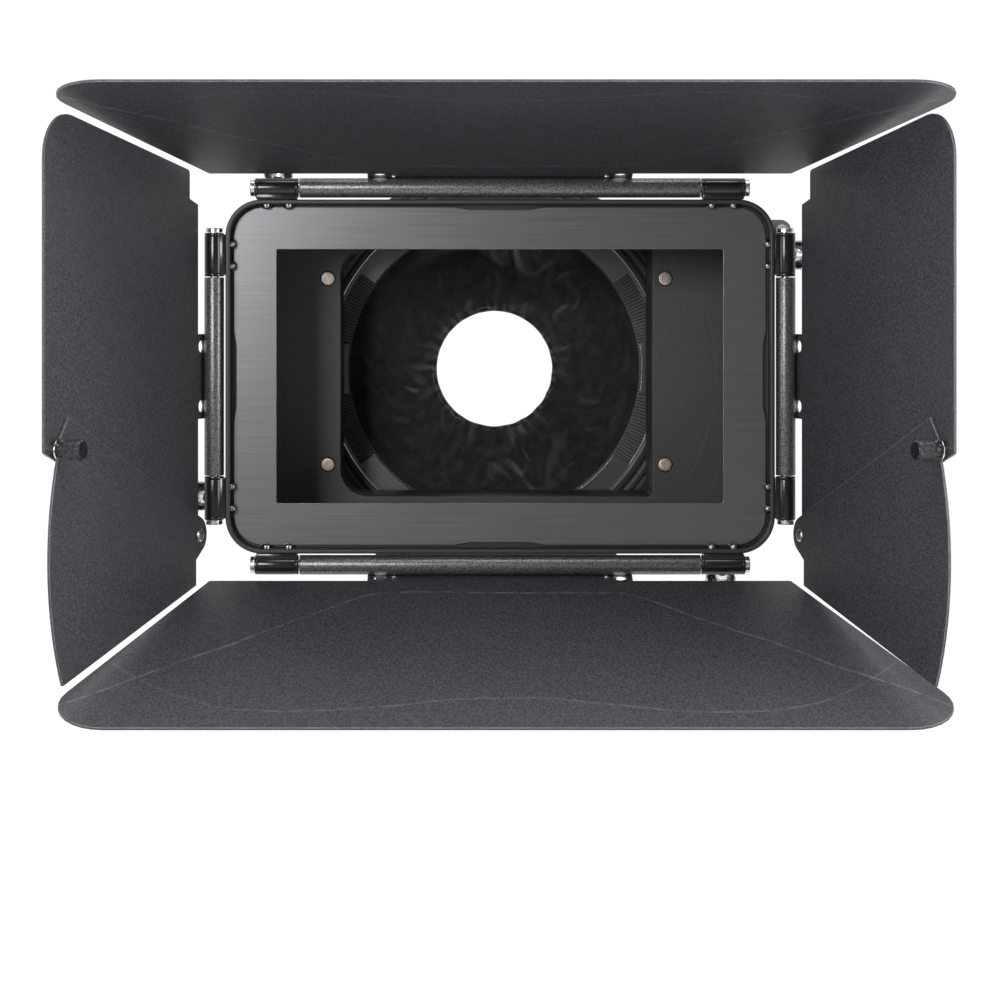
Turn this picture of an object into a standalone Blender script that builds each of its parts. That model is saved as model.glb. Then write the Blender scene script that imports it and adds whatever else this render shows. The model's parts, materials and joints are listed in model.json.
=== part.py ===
"""Four-flag matte box (professional lens hood) as an assembly of separate solids.

Frame: metres, +X right seen from the front, +Y towards the camera body, +Z up.
The origin is on the optical axis, in the plane of the rear face of the lens port ring.
Depths named *_DEPTH are measured from the front edge of the hood rim, along +Y.
"""
import math

import bmesh
import bpy
from mathutils import Matrix, Vector

# Overall
RIM_TO_PORT = 0.150          # front edge of the rim to the rear face of the lens port ring
CLEAR = 0.0003               # gap kept between touching pieces

# Hood shell
RIM_WIDTH = 0.242
RIM_HEIGHT = 0.156
RIM_CORNER = 0.016
WALL = 0.002
SHELL_LENGTH = 0.084
RIM_CHAMFER = 0.0006
SHELL_FLANGE = 0.014         # inward flange at the rear of the shell
SHELL_FLANGE_THICK = 0.0014
LEDGE = 0.0035               # ledge that the mask plate rests on
LEDGE_THICK = 0.0025

# Mask plate
MASK_DEPTH = 0.007
MASK_THICK = 0.0015
MASK_MARGIN = 0.0012         # slack between the mask plate and the shell
MASK_BORDER_X = 0.022        # outside of the rim to the mask's opening, at the sides
MASK_BORDER_Z = 0.02175      # the same above and below
MASK_OPEN_W = RIM_WIDTH - 2 * MASK_BORDER_X
MASK_OPEN_H = RIM_HEIGHT - 2 * MASK_BORDER_Z
MASK_OPEN_ROUND = 0.0006
NOTCH_LONG = 0.040
NOTCH_SHORT = 0.027
NOTCH_DEEP = 0.0012

# Stage plate and filter stage
STAGE_OPEN_W = 0.1476
STAGE_OPEN_H = 0.1180
STAGE_OPEN_ROUND = 0.013
STAGE_OPEN_TIGHT = 0.0015
PLATE_THICK = 0.0025
STAGE_INSET = 0.009          # outside of the rim to the side of the filter stage
STAGE_BORDER = 0.017         # picture opening to the stage's upper and lower faces
STAGE_WIDTH = RIM_WIDTH - 2 * STAGE_INSET
STAGE_HEIGHT = STAGE_OPEN_H + 2 * STAGE_BORDER
STAGE_CORNER = 0.010
STAGE_LENGTH = 0.038
STAGE_SCREW_X = STAGE_OPEN_W / 2 + 0.0059
STAGE_SCREW_Z = STAGE_OPEN_H / 2 - 0.0150
STAGE_SCREW_HEAD_R = 0.0033
STAGE_SCREW_R = 0.0015
STAGE_SCREW_LENGTH = 0.003   # shank below the head
STAGE_SCREW_RIM = 0.0006     # straight rim of the head above its cone
SCREW_END_GAP = 0.0007       # screw end to the bottom of its blind hole
TRAY_THICK = 0.0094
TRAY_PITCH = 0.0160          # from one tray slot to the next
TRAY_FIRST = 0.0050          # front wall of the stage before the first slot
TRAY_BORDER = 0.0102         # picture opening to the side of a tray
TRAY_WIDTH = STAGE_OPEN_W + 2 * TRAY_BORDER
TRAY_SILL = 0.0066           # tray frame under its opening
TRAY_TAB_W = 0.050
TRAY_TAB_H = 0.0085
TRAY_SLACK = 0.0005
TRAY_LIFT_GAP = 0.0006
TRAY_LOCK_Z = STAGE_HEIGHT / 2 - 0.009
TRAY_LOCK_X = STAGE_WIDTH / 2 + 0.024
TRAY_LOCK_R = 0.0029
TRAY_LOCK_HEAD = 0.004
TRAY_LOCK_END = 0.002
EAR_R = 0.0052
EAR_THICK = 0.004
EAR_DEPTH = 0.010            # front of the stage to the front of the ear
EAR_ROOT = 0.004             # how far the ear reaches into the stage

# Rear housing, lens port ring and fabric donut
PORT_R = 0.0910
PORT_WALL = 0.008
HOUSING_WALL = 0.007
HOUSING_R = PORT_R + HOUSING_WALL
HOUSING_LENGTH = 0.0174
HOUSING_LIP = 0.0036
LIP_R = PORT_R - 0.0047
EDGE_CHAMFER = 0.001         # chamfers of the turned rings
HOUSING_SCREW_R = 0.0014
HOUSING_SCREW_HEAD_R = 0.0024
HOUSING_SCREW_HEAD = 0.0014
HOUSING_SCREW_START = 0.001  # front of the housing to the end of its screws
FINGERS = 8
FINGER_HALF_ANGLE = math.radians(9.5)
FINGER_INNER_R = PORT_R - PORT_WALL - 0.0104
FINGER_THICK = 0.0012
BAND_THICK = 0.0014          # outer band that joins the fingers
RETAINER_DEPTH = 0.1330
ELASTIC_INNER_R = PORT_R - PORT_WALL - 0.0110
ELASTIC_THICK = 0.0014
FABRIC_HOLE_R = 0.028
FABRIC_BULGE = 0.0125        # how far the gathered cloth stands forward of its clamped edge
FABRIC_THICK = 0.0100
CLOTH_INSET = 0.0015         # the cloth rises inside the elastic's inner edge
CLOTH_EDGE_THICK = 0.004     # folded seam behind the elastic
CLOTH_STEPS = 6

# Rod bracket
BRACKET_WIDTH = 0.115
BRACKET_DEPTH = 0.0920
BRACKET_THICK = 0.022
ROD_R = 0.0076
ROD_SPACING = 0.060
ROD_DROP = 0.113             # optical axis down to the rod axes
CAP_BELOW = 0.013
BRACKET_CHAMFER = 0.004
CLAMP_SCREW_R = 0.0025
CLAMP_KNOB_R = 0.0100
CLAMP_KNOB_H = 0.0110
CLAMP_COLLAR_R = 0.0060
CLAMP_COLLAR = 0.0030
CLAMP_SCREW_DEPTH = 0.012    # top of the bracket down to the clamp screw's hole
BRACKET_SCREW_R = 0.0020
BRACKET_SCREW_X = 0.045
BRACKET_SCREW_LENGTH = 0.0075

# Flag hinges
AXIS_DEPTH = 0.0045          # hinge axes behind the front edge of the rim
TUBE_R = 0.00435
AXIS_OUT = TUBE_R + 0.00095  # hinge axes outside the faces of the rim
TUBE_BORE_R = 0.0024
ROD_PIN_R = 0.0020
BARREL_R = 0.0043
BARREL_LENGTH = 0.0192
BARREL_FOOT_W = 0.0068
BARREL_FOOT_INSET = 0.0006   # foot shorter than its barrel at each end
FOOT_OVERLAP = 0.0004        # foot's top under the barrel's bore
END_CAP_R = 0.0037
END_CAP_LENGTH = 0.0019
TUBE_GAP = 0.0004
TUBE_HALF_TOP = RIM_WIDTH / 2 - 0.0325     # half length of the tubes above and below
TUBE_HALF_SIDE = RIM_HEIGHT / 2 - 0.0343   # half length of the tubes left and right
MOUNT_SCREW_PITCH = 0.0097
MOUNT_SCREW_R = 0.0010
MOUNT_SCREW_HEAD_R = 0.0020
MOUNT_SCREW_HEAD = 0.0021

# Flags
SHEET = 0.0012
HINGE_EDGE = 0.0063          # hinge axis to the rear edge of a flag, along the flag
FLAG_LENGTH = 0.130
FLAG_HALF_WIDTH = RIM_WIDTH / 2 + 0.007
FLAG_FLARE = math.radians(25.6)
FLAG_CORNER = 0.020
FLAG_STEPS = 9               # steps round the corners of the flags
TONGUE_HALF_TOP = 0.0585
TONGUE_HALF_SIDE = 0.0187
TONGUE_BACK = 0.0035
TONGUE_HOLE_R = 0.0028
TONGUE_HOLE_INSET = 0.0055
TILT_TOP = math.radians(13.0)
TILT_RIGHT = math.radians(18.9)
TILT_BOTTOM = math.radians(19.8)
TILT_LEFT = math.radians(21.8)

# Side flags: heights are from the optical axis, reaches from the flag's rear edge
SIDE_TOP_INNER = RIM_HEIGHT / 2 + 0.0125
SIDE_TOP_SLOPE = 0.168
SIDE_TOP_ROUND = 0.018
SIDE_NOTCH_LOW = RIM_HEIGHT / 2 - 0.0023
SIDE_NOTCH_HIGH = RIM_HEIGHT / 2
SIDE_NOTCH_REACH = 0.0078
SIDE_LOW_OUTER = RIM_HEIGHT / 2 - 0.0515
SIDE_LOW_INNER = RIM_HEIGHT / 2

# Wings, on the inner face of the side flags
PIVOT_DROP = RIM_HEIGHT / 2 - 0.0085   # optical axis down to the wing pivot
PIVOT_REACH = 0.0026
PIVOT_HOLE_R = 0.0016
PIVOT_SCREW_R = 0.0013
PIVOT_HEAD_R = 0.0028
PIVOT_HEAD = 0.0012
WING_BOSS_R = 0.0080
WING_R = 0.126
WING_ARC_LOW = math.radians(-23.4)
WING_ARC_HIGH = math.radians(21.2)
WING_HOOK = 0.0016           # the wing's upper corner beyond its round edge
WING_HOOK_ANGLE = math.radians(0.8)
WING_BOSS_END = math.radians(246)
WING_TOP = PIVOT_DROP - 0.0565         # optical axis down to the wing's upper corner
WING_TOP_REACH = 0.114
WING_HEEL_DROP = PIVOT_DROP + 0.0220
WING_HEEL_REACH = 0.0046
STUD_ANGLE = math.radians(20.2)
STUD_R = 0.0015
KNOB_WASHER_R = 0.0042
KNOB_WASHER = 0.0006
KNOB_NECK_R = 0.0030
KNOB_NECK = 0.0026
KNOB_HEAD_R = 0.0042
KNOB_HEAD = 0.0080
KNOB_CHAMFER = 0.0005
STUD_NUT_R = 0.0032
STUD_NUT = 0.0020

# Lock knobs on the hinge barrels
LOCK_LEAN = math.radians(50.0)   # from straight outwards towards the rear
LOCK_NECK_R = 0.0029
LOCK_NECK_END = 0.0100
LOCK_HEAD_R = 0.00675
LOCK_HEAD = 0.0055
LOCK_SOCKET_R = 0.0018
LOCK_SCREW_R = 0.0014

FRONT = -RIM_TO_PORT
ROUND = 24
LARGE_ROUND = 48


def clear_scene():
    """Removes every object of the open scene."""
    for item in list(bpy.data.objects):
        bpy.data.objects.remove(item, do_unlink=True)


def material(name, colour, roughness, metallic=0.0):
    """Gives a Principled material of one colour."""
    made = bpy.data.materials.new(name)
    made.use_nodes = True
    shader = made.node_tree.nodes["Principled BSDF"]
    shader.inputs["Base Color"].default_value = (*colour, 1.0)
    shader.inputs["Roughness"].default_value = roughness
    shader.inputs["Metallic"].default_value = metallic
    return made


def frame(name, matrix):
    """Gives an empty that holds a local frame."""
    empty = bpy.data.objects.new(name, None)
    empty.matrix_world = matrix
    bpy.context.scene.collection.objects.link(empty)
    return empty


def add(name, mesh, finish, parent=None, guide=False):
    """Links a mesh object, smooth on its round faces, under an optional parent."""
    mesh.shade_smooth()
    mesh.set_sharp_from_angle(angle=math.radians(35))
    item = bpy.data.objects.new(name, mesh)
    if finish:
        mesh.materials.append(finish)
    item.parent = parent
    bpy.context.scene.collection.objects.link(item)
    if guide:
        item.hide_render = True
        item.display_type = "WIRE"
    return item


def mesh_from(bm, name):
    """Turns a bmesh into a mesh whose faces point outwards."""
    bmesh.ops.recalc_face_normals(bm, faces=bm.faces)
    mesh = bpy.data.meshes.new(name)
    bm.to_mesh(mesh)
    bm.free()
    return mesh


def circle(radius, count=ROUND, centre=(0.0, 0.0)):
    """Gives the points of a circle."""
    turns = [2 * math.pi * i / count for i in range(count)]
    return [(centre[0] + radius * math.cos(a), centre[1] + radius * math.sin(a)) for a in turns]


def filleted(corners, steps=5):
    """Gives an outline through (x, y, radius) corners, each rounded by its radius."""
    points = []
    for i, (x, y, radius) in enumerate(corners):
        if radius <= 0:
            points.append((x, y))
            continue
        here = Vector((x, y))
        back = (Vector(corners[i - 1][:2]) - here).normalized()
        ahead = (Vector(corners[(i + 1) % len(corners)][:2]) - here).normalized()
        half = back.angle(ahead) / 2
        reach = radius / math.tan(half)
        centre = here + (back + ahead).normalized() * (radius / math.sin(half))
        start = here + back * reach - centre
        sweep = (math.pi - 2 * half) * (1 if back.cross(ahead) < 0 else -1)
        for k in range(steps + 1):
            turned = Matrix.Rotation(sweep * k / steps, 2) @ start
            points.append(tuple(centre + turned))
    return points


def rounded_box(width, height, radius, steps=5):
    """Gives the outline of a rectangle with round corners, about the origin."""
    w, h = width / 2, height / 2
    return filleted([(w, -h, radius), (w, h, radius), (-w, h, radius), (-w, -h, radius)], steps)


def plate_mesh(name, outer, holes, low, high):
    """Gives a flat plate in the local xy plane from low to high, with through holes."""
    bm = bmesh.new()
    for loop in [outer] + holes:
        verts = [bm.verts.new((x, y, low)) for x, y in loop]
        for i, vert in enumerate(verts):
            bm.edges.new((verts[i - 1], vert))
    bmesh.ops.triangle_fill(bm, use_beauty=True, edges=bm.edges[:], normal=(0, 0, 1))
    grown = bmesh.ops.extrude_face_region(bm, geom=bm.faces[:])
    moved = [v for v in grown["geom"] if isinstance(v, bmesh.types.BMVert)]
    bmesh.ops.translate(bm, verts=moved, vec=(0, 0, high - low))
    return mesh_from(bm, name)


def loft_mesh(name, rings, closed=False):
    """Joins rings of equally many 3-D points; ends are capped unless the loft is closed."""
    bm = bmesh.new()
    loops = [[bm.verts.new(p) for p in ring] for ring in rings]
    pairs = list(zip(loops, loops[1:]))
    if closed:
        pairs.append((loops[-1], loops[0]))
    for one, two in pairs:
        for i in range(len(one)):
            bm.faces.new((one[i - 1], one[i], two[i], two[i - 1]))
    if not closed:
        bm.faces.new(loops[0])
        bm.faces.new(loops[-1])
    return mesh_from(bm, name)


def turned_mesh(name, profile, count=ROUND):
    """Turns (radius, height) points about local z; radius 0 ends become poles."""
    bm = bmesh.new()
    loops = []
    for radius, height in profile:
        if radius <= 0:
            loops.append([bm.verts.new((0, 0, height))])
        else:
            loops.append([bm.verts.new((x, y, height)) for x, y in circle(radius, count)])
    pairs = list(zip(loops, loops[1:]))
    if profile[0][0] > 0:
        pairs.append((loops[-1], loops[0]))
    for one, two in pairs:
        for i in range(count):
            if len(one) == 1:
                bm.faces.new((one[0], two[i], two[i - 1]))
            elif len(two) == 1:
                bm.faces.new((one[i - 1], one[i], two[0]))
            else:
                bm.faces.new((one[i - 1], one[i], two[i], two[i - 1]))
    return mesh_from(bm, name)


def rod_mesh(name, radius, low, high, count=ROUND):
    """Gives a plain cylinder along local z."""
    return turned_mesh(name, [(0, low), (radius, low), (radius, high), (0, high)], count)


def tube_mesh(name, outer, inner, low, high, count=ROUND):
    """Gives a tube along local z."""
    profile = [(outer, low), (outer, high), (inner, high), (inner, low)]
    return turned_mesh(name, profile, count)


def block_mesh(name, low, high):
    """Gives a box between two corners."""
    bm = bmesh.new()
    bmesh.ops.create_cube(bm, size=1.0)
    size = [b - a for a, b in zip(low, high)]
    middle = [(a + b) / 2 for a, b in zip(low, high)]
    bmesh.ops.scale(bm, vec=size, verts=bm.verts)
    bmesh.ops.translate(bm, vec=middle, verts=bm.verts)
    return mesh_from(bm, name)


def joined(name, meshes):
    """Joins the faces of several meshes, each given with its matrix, without uniting them."""
    bm = bmesh.new()
    for mesh, matrix in meshes:
        copy = mesh.copy()
        copy.transform(matrix)
        bm.from_mesh(copy)
    return mesh_from(bm, name)


def boolean(target, tool_mesh, operation, tag):
    """Adds a live exact Boolean whose tool is a hidden guide under the target's parent."""
    tool = add(f"guide_{target.name}_{tag}", tool_mesh, None, target.parent, guide=True)
    modifier = target.modifiers.new(tag, "BOOLEAN")
    modifier.operation = operation
    modifier.solver = "EXACT"
    modifier.object = tool


def spot(x, y, z, rotation=None):
    """Gives the matrix that places local z geometry at a point."""
    placed = Matrix.Translation((x, y, z))
    return placed @ rotation if rotation else placed


ALONG_X = Matrix.Rotation(math.pi / 2, 4, "Y")
ALONG_Y = Matrix.Rotation(-math.pi / 2, 4, "X")
STACK = Matrix.Translation((0, FRONT, 0)) @ ALONG_Y
# In the STACK frame local x is right, local y is down and local z is depth behind the rim.


def ring(width, height, radius, depth):
    """Gives a rounded rectangle at a depth, for a loft in the stack frame."""
    return [(x, y, depth) for x, y in rounded_box(width, height, radius)]


def hood_shell(finish, stack):
    """The box-shaped front housing: walls, front chamfer, mask ledge and rear flange."""
    inner_w, inner_h = RIM_WIDTH - 2 * WALL, RIM_HEIGHT - 2 * WALL
    inner_r = RIM_CORNER - WALL
    ledge_w, ledge_h = inner_w - 2 * LEDGE, inner_h - 2 * LEDGE
    open_w, open_h = RIM_WIDTH - 2 * SHELL_FLANGE, RIM_HEIGHT - 2 * SHELL_FLANGE
    flange = SHELL_LENGTH - SHELL_FLANGE_THICK
    ledge = MASK_DEPTH + MASK_THICK + CLEAR
    c = RIM_CHAMFER
    rings = [
        ring(RIM_WIDTH - 2 * c, RIM_HEIGHT - 2 * c, RIM_CORNER - c, 0),
        ring(RIM_WIDTH, RIM_HEIGHT, RIM_CORNER, c),
        ring(RIM_WIDTH, RIM_HEIGHT, RIM_CORNER, SHELL_LENGTH),
        ring(open_w, open_h, RIM_CORNER / 2, SHELL_LENGTH),
        ring(open_w, open_h, RIM_CORNER / 2, flange),
        ring(inner_w, inner_h, inner_r, flange),
        ring(inner_w, inner_h, inner_r, ledge + LEDGE_THICK),
        ring(ledge_w, ledge_h, inner_r - LEDGE, ledge + LEDGE_THICK),
        ring(ledge_w, ledge_h, inner_r - LEDGE, ledge),
        ring(inner_w, inner_h, inner_r, ledge),
        ring(inner_w, inner_h, inner_r, 0),
    ]
    shell = add("hood_shell", loft_mesh("hood_shell", rings, closed=True), finish, stack)
    holes = []
    for side in SIDES:
        for sign in (-1, 1):
            for x in mount_screw_places(side, sign):
                hole = rod_mesh("hole", MOUNT_SCREW_R + CLEAR, -WALL * 2, WALL * 2, 10)
                place = stack.matrix_world.inverted() @ side["fixed"] @ spot(x, 0, -AXIS_OUT)
                holes.append((hole, place))
    boolean(shell, joined("holes", holes), "DIFFERENCE", "mount_holes")


def mask_plate(finish, stack):
    """The satin mask with its wide opening and a finger notch in each edge."""
    w = RIM_WIDTH / 2 - WALL - MASK_MARGIN
    h = RIM_HEIGHT / 2 - WALL - MASK_MARGIN
    r = RIM_CORNER - WALL - MASK_MARGIN
    a, b, d = NOTCH_LONG / 2, NOTCH_SHORT / 2, NOTCH_DEEP
    corners = [
        (w, -h, r), (w, -a, 0), (w - d, -b, 0), (w - d, b, 0), (w, a, 0),
        (w, h, r), (a, h, 0), (b, h - d, 0), (-b, h - d, 0), (-a, h, 0),
        (-w, h, r), (-w, a, 0), (-w + d, b, 0), (-w + d, -b, 0), (-w, -a, 0),
        (-w, -h, r), (-a, -h, 0), (-b, -h + d, 0), (b, -h + d, 0), (a, -h, 0),
    ]
    opening = rounded_box(MASK_OPEN_W, MASK_OPEN_H, MASK_OPEN_ROUND, 2)
    outline = filleted(corners)
    mesh = plate_mesh("mask_plate", outline, [opening], MASK_DEPTH, MASK_DEPTH + MASK_THICK)
    add("mask_plate", mesh, finish, stack)


def stage_opening():
    """The picture opening: round corners on the left, square corners on the right."""
    w, h = STAGE_OPEN_W / 2, STAGE_OPEN_H / 2
    tight, soft = STAGE_OPEN_TIGHT, STAGE_OPEN_ROUND
    return filleted([(w, -h, tight), (w, h, tight), (-w, h, soft), (-w, -h, soft)])


def stage_screw_places():
    """Gives the four screw places as (label, x, y) in the stack frame."""
    x, y = STAGE_SCREW_X, STAGE_SCREW_Z
    return [("upper_left", -x, -y), ("upper_right", x, -y), ("lower_left", -x, y), ("lower_right", x, y)]


def stage_plate(finish, screw_finish, stack):
    """The flat plate at the back of the hood, with its four countersunk screws."""
    margin = 2 * (WALL + CLEAR)
    w, h, r = RIM_WIDTH - margin, RIM_HEIGHT - margin, RIM_CORNER - WALL - CLEAR
    top = plate_top()
    holes = [stage_opening()]
    for _, x, y in stage_screw_places():
        holes.append(circle(STAGE_SCREW_HEAD_R + CLEAR, 24, (x, y)))
    mesh = plate_mesh("stage_plate", rounded_box(w, h, r), holes, top, top + PLATE_THICK)
    add("stage_plate", mesh, finish, stack)
    under = top + PLATE_THICK
    for label, x, y in stage_screw_places():
        profile = [
            (0, top), (STAGE_SCREW_HEAD_R, top), (STAGE_SCREW_HEAD_R, top + STAGE_SCREW_RIM),
            (STAGE_SCREW_R, under), (STAGE_SCREW_R, stage_front() + STAGE_SCREW_LENGTH),
            (0, stage_front() + STAGE_SCREW_LENGTH),
        ]
        screw = turned_mesh("stage_screw", profile, 20)
        screw.transform(Matrix.Translation((x, y, 0)))
        add(f"stage_screw_{label}", screw, screw_finish, stack)


def plate_top():
    """Depth of the stage plate's front face: it clamps the shell's rear flange."""
    return SHELL_LENGTH - SHELL_FLANGE_THICK - CLEAR - PLATE_THICK


def stage_front():
    """Depth of the filter stage's front face."""
    return SHELL_LENGTH + CLEAR


def tray_depth(index):
    """Depth of a tray slot's front wall."""
    return stage_front() + TRAY_FIRST + TRAY_PITCH * index


def filter_stage(finish, stack):
    """The filter stage body: two tray slots open at the top, round the picture opening."""
    front, rear = stage_front(), stage_front() + STAGE_LENGTH
    outline = rounded_box(STAGE_WIDTH, STAGE_HEIGHT, STAGE_CORNER)
    mesh = plate_mesh("filter_stage", outline, [stage_opening()], front, rear)
    body = add("filter_stage", mesh, finish, stack)
    half = TRAY_WIDTH / 2 + TRAY_SLACK
    floor = STAGE_OPEN_H / 2 + TRAY_SILL + TRAY_SLACK
    cuts = []
    for index in range(2):
        low = (-half, -STAGE_HEIGHT, tray_depth(index))
        high = (half, floor, tray_depth(index) + TRAY_THICK + 2 * TRAY_SLACK)
        cuts.append((block_mesh("slot", low, high), Matrix.Identity(4)))
    for _, x, y in stage_screw_places():
        end = front + STAGE_SCREW_LENGTH + SCREW_END_GAP
        hole = rod_mesh("hole", STAGE_SCREW_R + CLEAR, front - 0.001, end, 16)
        cuts.append((hole, Matrix.Translation((x, y, 0))))
    boolean(body, joined("cuts", cuts), "DIFFERENCE", "slots")
    boolean(body, stage_ear(), "UNION", "ear")
    hole = rod_mesh("hole", TRAY_LOCK_R / 2 + CLEAR, -1, 1, 16)
    hole.transform(Matrix.Translation((TRAY_LOCK_X, -TRAY_LOCK_Z, 0)))
    boolean(body, hole, "DIFFERENCE", "ear_hole")


def stage_ear():
    """The small ear beside the stage that carries the tray lock screw."""
    low = stage_front() + EAR_DEPTH
    x, y = TRAY_LOCK_X, -TRAY_LOCK_Z
    root = STAGE_WIDTH / 2 - EAR_ROOT
    outline = [(root, y - EAR_R), (root, y + EAR_R)]
    for k in range(13):
        a = math.pi / 2 - math.pi * k / 12
        outline.append((x + EAR_R * math.cos(a), y + EAR_R * math.sin(a)))
    return plate_mesh("ear", outline, [], low, low + EAR_THICK)


def tray_lock(finish, stack):
    """The knurled screw in the ear."""
    low = stage_front() + EAR_DEPTH
    high = low + EAR_THICK
    top = low - CLEAR - TRAY_LOCK_HEAD
    r = TRAY_LOCK_R
    profile = [
        (0, top), (r, top), (r, low - CLEAR), (r / 2, low - CLEAR), (r / 2, high + CLEAR),
        (r * 0.8, high + CLEAR), (r * 0.8, high + TRAY_LOCK_END), (0, high + TRAY_LOCK_END),
    ]
    mesh = turned_mesh("tray_lock_screw", profile, 20)
    holder = frame("tray_lock_axis", stack.matrix_world @ spot(TRAY_LOCK_X, -TRAY_LOCK_Z, 0))
    add("tray_lock_screw", mesh, finish, holder)


def filter_tray(name, index, finish, stack):
    """A filter frame that lifts out upwards by its tab."""
    low = tray_depth(index) + TRAY_SLACK
    half = TRAY_WIDTH / 2
    floor = STAGE_OPEN_H / 2 + TRAY_SILL
    top = STAGE_HEIGHT / 2 - TRAY_LIFT_GAP
    tab = TRAY_TAB_W / 2
    outline = filleted([
        (half, floor, 0.002), (-half, floor, 0.002), (-half, -top, 0.001), (-tab, -top, 0),
        (-tab, -top - TRAY_TAB_H, 0.003), (tab, -top - TRAY_TAB_H, 0.003), (tab, -top, 0),
        (half, -top, 0.001),
    ], 4)
    opening = rounded_box(STAGE_OPEN_W, STAGE_OPEN_H, STAGE_OPEN_TIGHT, 2)
    add(name, plate_mesh(name, outline, [opening], low, low + TRAY_THICK), finish, stack)


def housing_front():
    """Depth of the rear housing's front face."""
    return stage_front() + STAGE_LENGTH + CLEAR


def housing_screw_places():
    """Gives the four housing screws as (label, x, y), on the diagonals of its rim."""
    reach = (HOUSING_R + PORT_R + CLEAR) / 2 * math.sqrt(0.5)
    places = []
    for vertical, b in (("upper", -1), ("lower", 1)):
        for label, a in (("left", -1), ("right", 1)):
            places.append((f"{vertical}_{label}", a * reach, b * reach))
    return places


def rear_housing(finish, screw_finish, stack):
    """The round housing behind the stage, and the four screws that hold it there."""
    front = housing_front()
    rear = front + HOUSING_LENGTH
    bore = PORT_R + CLEAR
    c = EDGE_CHAMFER
    profile = [
        (HOUSING_R - c, front), (HOUSING_R, front + c), (HOUSING_R, rear - c), (HOUSING_R - c, rear),
        (bore, rear), (bore, front + HOUSING_LIP), (LIP_R, front + HOUSING_LIP), (LIP_R, front),
    ]
    start, seat = front + HOUSING_SCREW_START, rear + CLEAR
    head = seat + HOUSING_SCREW_HEAD
    housing = add("rear_housing", turned_mesh("rear_housing", profile, LARGE_ROUND), finish, stack)
    holes = []
    for label, x, y in housing_screw_places():
        hole = rod_mesh("hole", HOUSING_SCREW_R + CLEAR, front - 0.001, rear + 0.001, 12)
        holes.append((hole, Matrix.Translation((x, y, 0))))
        profile = [
            (0, start), (HOUSING_SCREW_R, start), (HOUSING_SCREW_R, seat), (HOUSING_SCREW_HEAD_R, seat),
            (HOUSING_SCREW_HEAD_R, head), (0, head),
        ]
        screw = turned_mesh("housing_screw", profile, 16)
        screw.transform(Matrix.Translation((x, y, 0)))
        add(f"housing_screw_{label}", screw, screw_finish, stack)
    boolean(housing, joined("holes", holes), "DIFFERENCE", "screw_holes")


def port_inner():
    """Inner radius of the lens port ring."""
    return PORT_R - PORT_WALL


def lens_port_ring(finish, stack):
    """The ring that the cloth is mounted in, clamped in the rear housing."""
    front = housing_front() + HOUSING_LIP + CLEAR
    inner = port_inner()
    profile = [
        (PORT_R, front), (PORT_R, RIM_TO_PORT - EDGE_CHAMFER), (PORT_R - EDGE_CHAMFER, RIM_TO_PORT),
        (inner, RIM_TO_PORT), (inner, front),
    ]
    add("lens_port_ring", turned_mesh("lens_port_ring", profile, LARGE_ROUND), finish, stack)


def finger_retainer(finish, stack):
    """The spring ring whose eight fingers hold the cloth's elastic edge."""
    outer = port_inner() - CLEAR
    pitch = 2 * math.pi / FINGERS
    gap = pitch - 2 * FINGER_HALF_ANGLE
    inner_loop = []
    for finger in range(FINGERS):
        for k in range(4):
            a = finger * pitch - FINGER_HALF_ANGLE + 2 * FINGER_HALF_ANGLE * k / 3
            inner_loop.append((FINGER_INNER_R * math.cos(a), FINGER_INNER_R * math.sin(a)))
        for k in range(5):
            a = finger * pitch + FINGER_HALF_ANGLE + gap * k / 4
            inner_loop.append(((outer - BAND_THICK) * math.cos(a), (outer - BAND_THICK) * math.sin(a)))
    outline = circle(outer, LARGE_ROUND)
    low, high = RETAINER_DEPTH, RETAINER_DEPTH + FINGER_THICK
    mesh = plate_mesh("finger_retainer", outline, [inner_loop], low, high)
    add("finger_retainer", mesh, finish, stack)


def cloth_clamp_depth():
    """Depth of the cloth's clamped edge, just behind the elastic."""
    return RETAINER_DEPTH + FINGER_THICK + CLEAR + ELASTIC_THICK + CLEAR


def elastic_band(finish, stack):
    """The flat elastic sewn round the cloth's outer edge."""
    low = RETAINER_DEPTH + FINGER_THICK + CLEAR
    outer = port_inner() - CLEAR
    mesh = tube_mesh("elastic_band", outer, ELASTIC_INNER_R, low, low + ELASTIC_THICK, LARGE_ROUND)
    add("elastic_band", mesh, finish, stack)


def fabric_donut(finish, stack):
    """The soft cloth cuff: clamped at its rim, bulging forward, gathered round its hole."""
    edge = cloth_clamp_depth()
    outer = port_inner() - CLEAR
    rim = ELASTIC_INNER_R - CLOTH_INSET
    span = rim - FABRIC_HOLE_R
    front, back = [], []
    for k in range(CLOTH_STEPS + 1):
        share = k / CLOTH_STEPS
        radius = FABRIC_HOLE_R + span * share
        rise = FABRIC_BULGE * math.sin(math.pi * (0.12 + 0.80 * share))
        front.append((radius, edge - rise))
        back.append((radius, edge - rise + FABRIC_THICK * (0.45 + 0.55 * math.sin(math.pi * share))))
    profile = front + [(rim, edge), (outer, edge), (outer, edge + CLOTH_EDGE_THICK)]
    profile += back[CLOTH_STEPS - 1::-1]
    add("fabric_donut", turned_mesh("fabric_donut", profile, 36), finish, stack)


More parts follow.
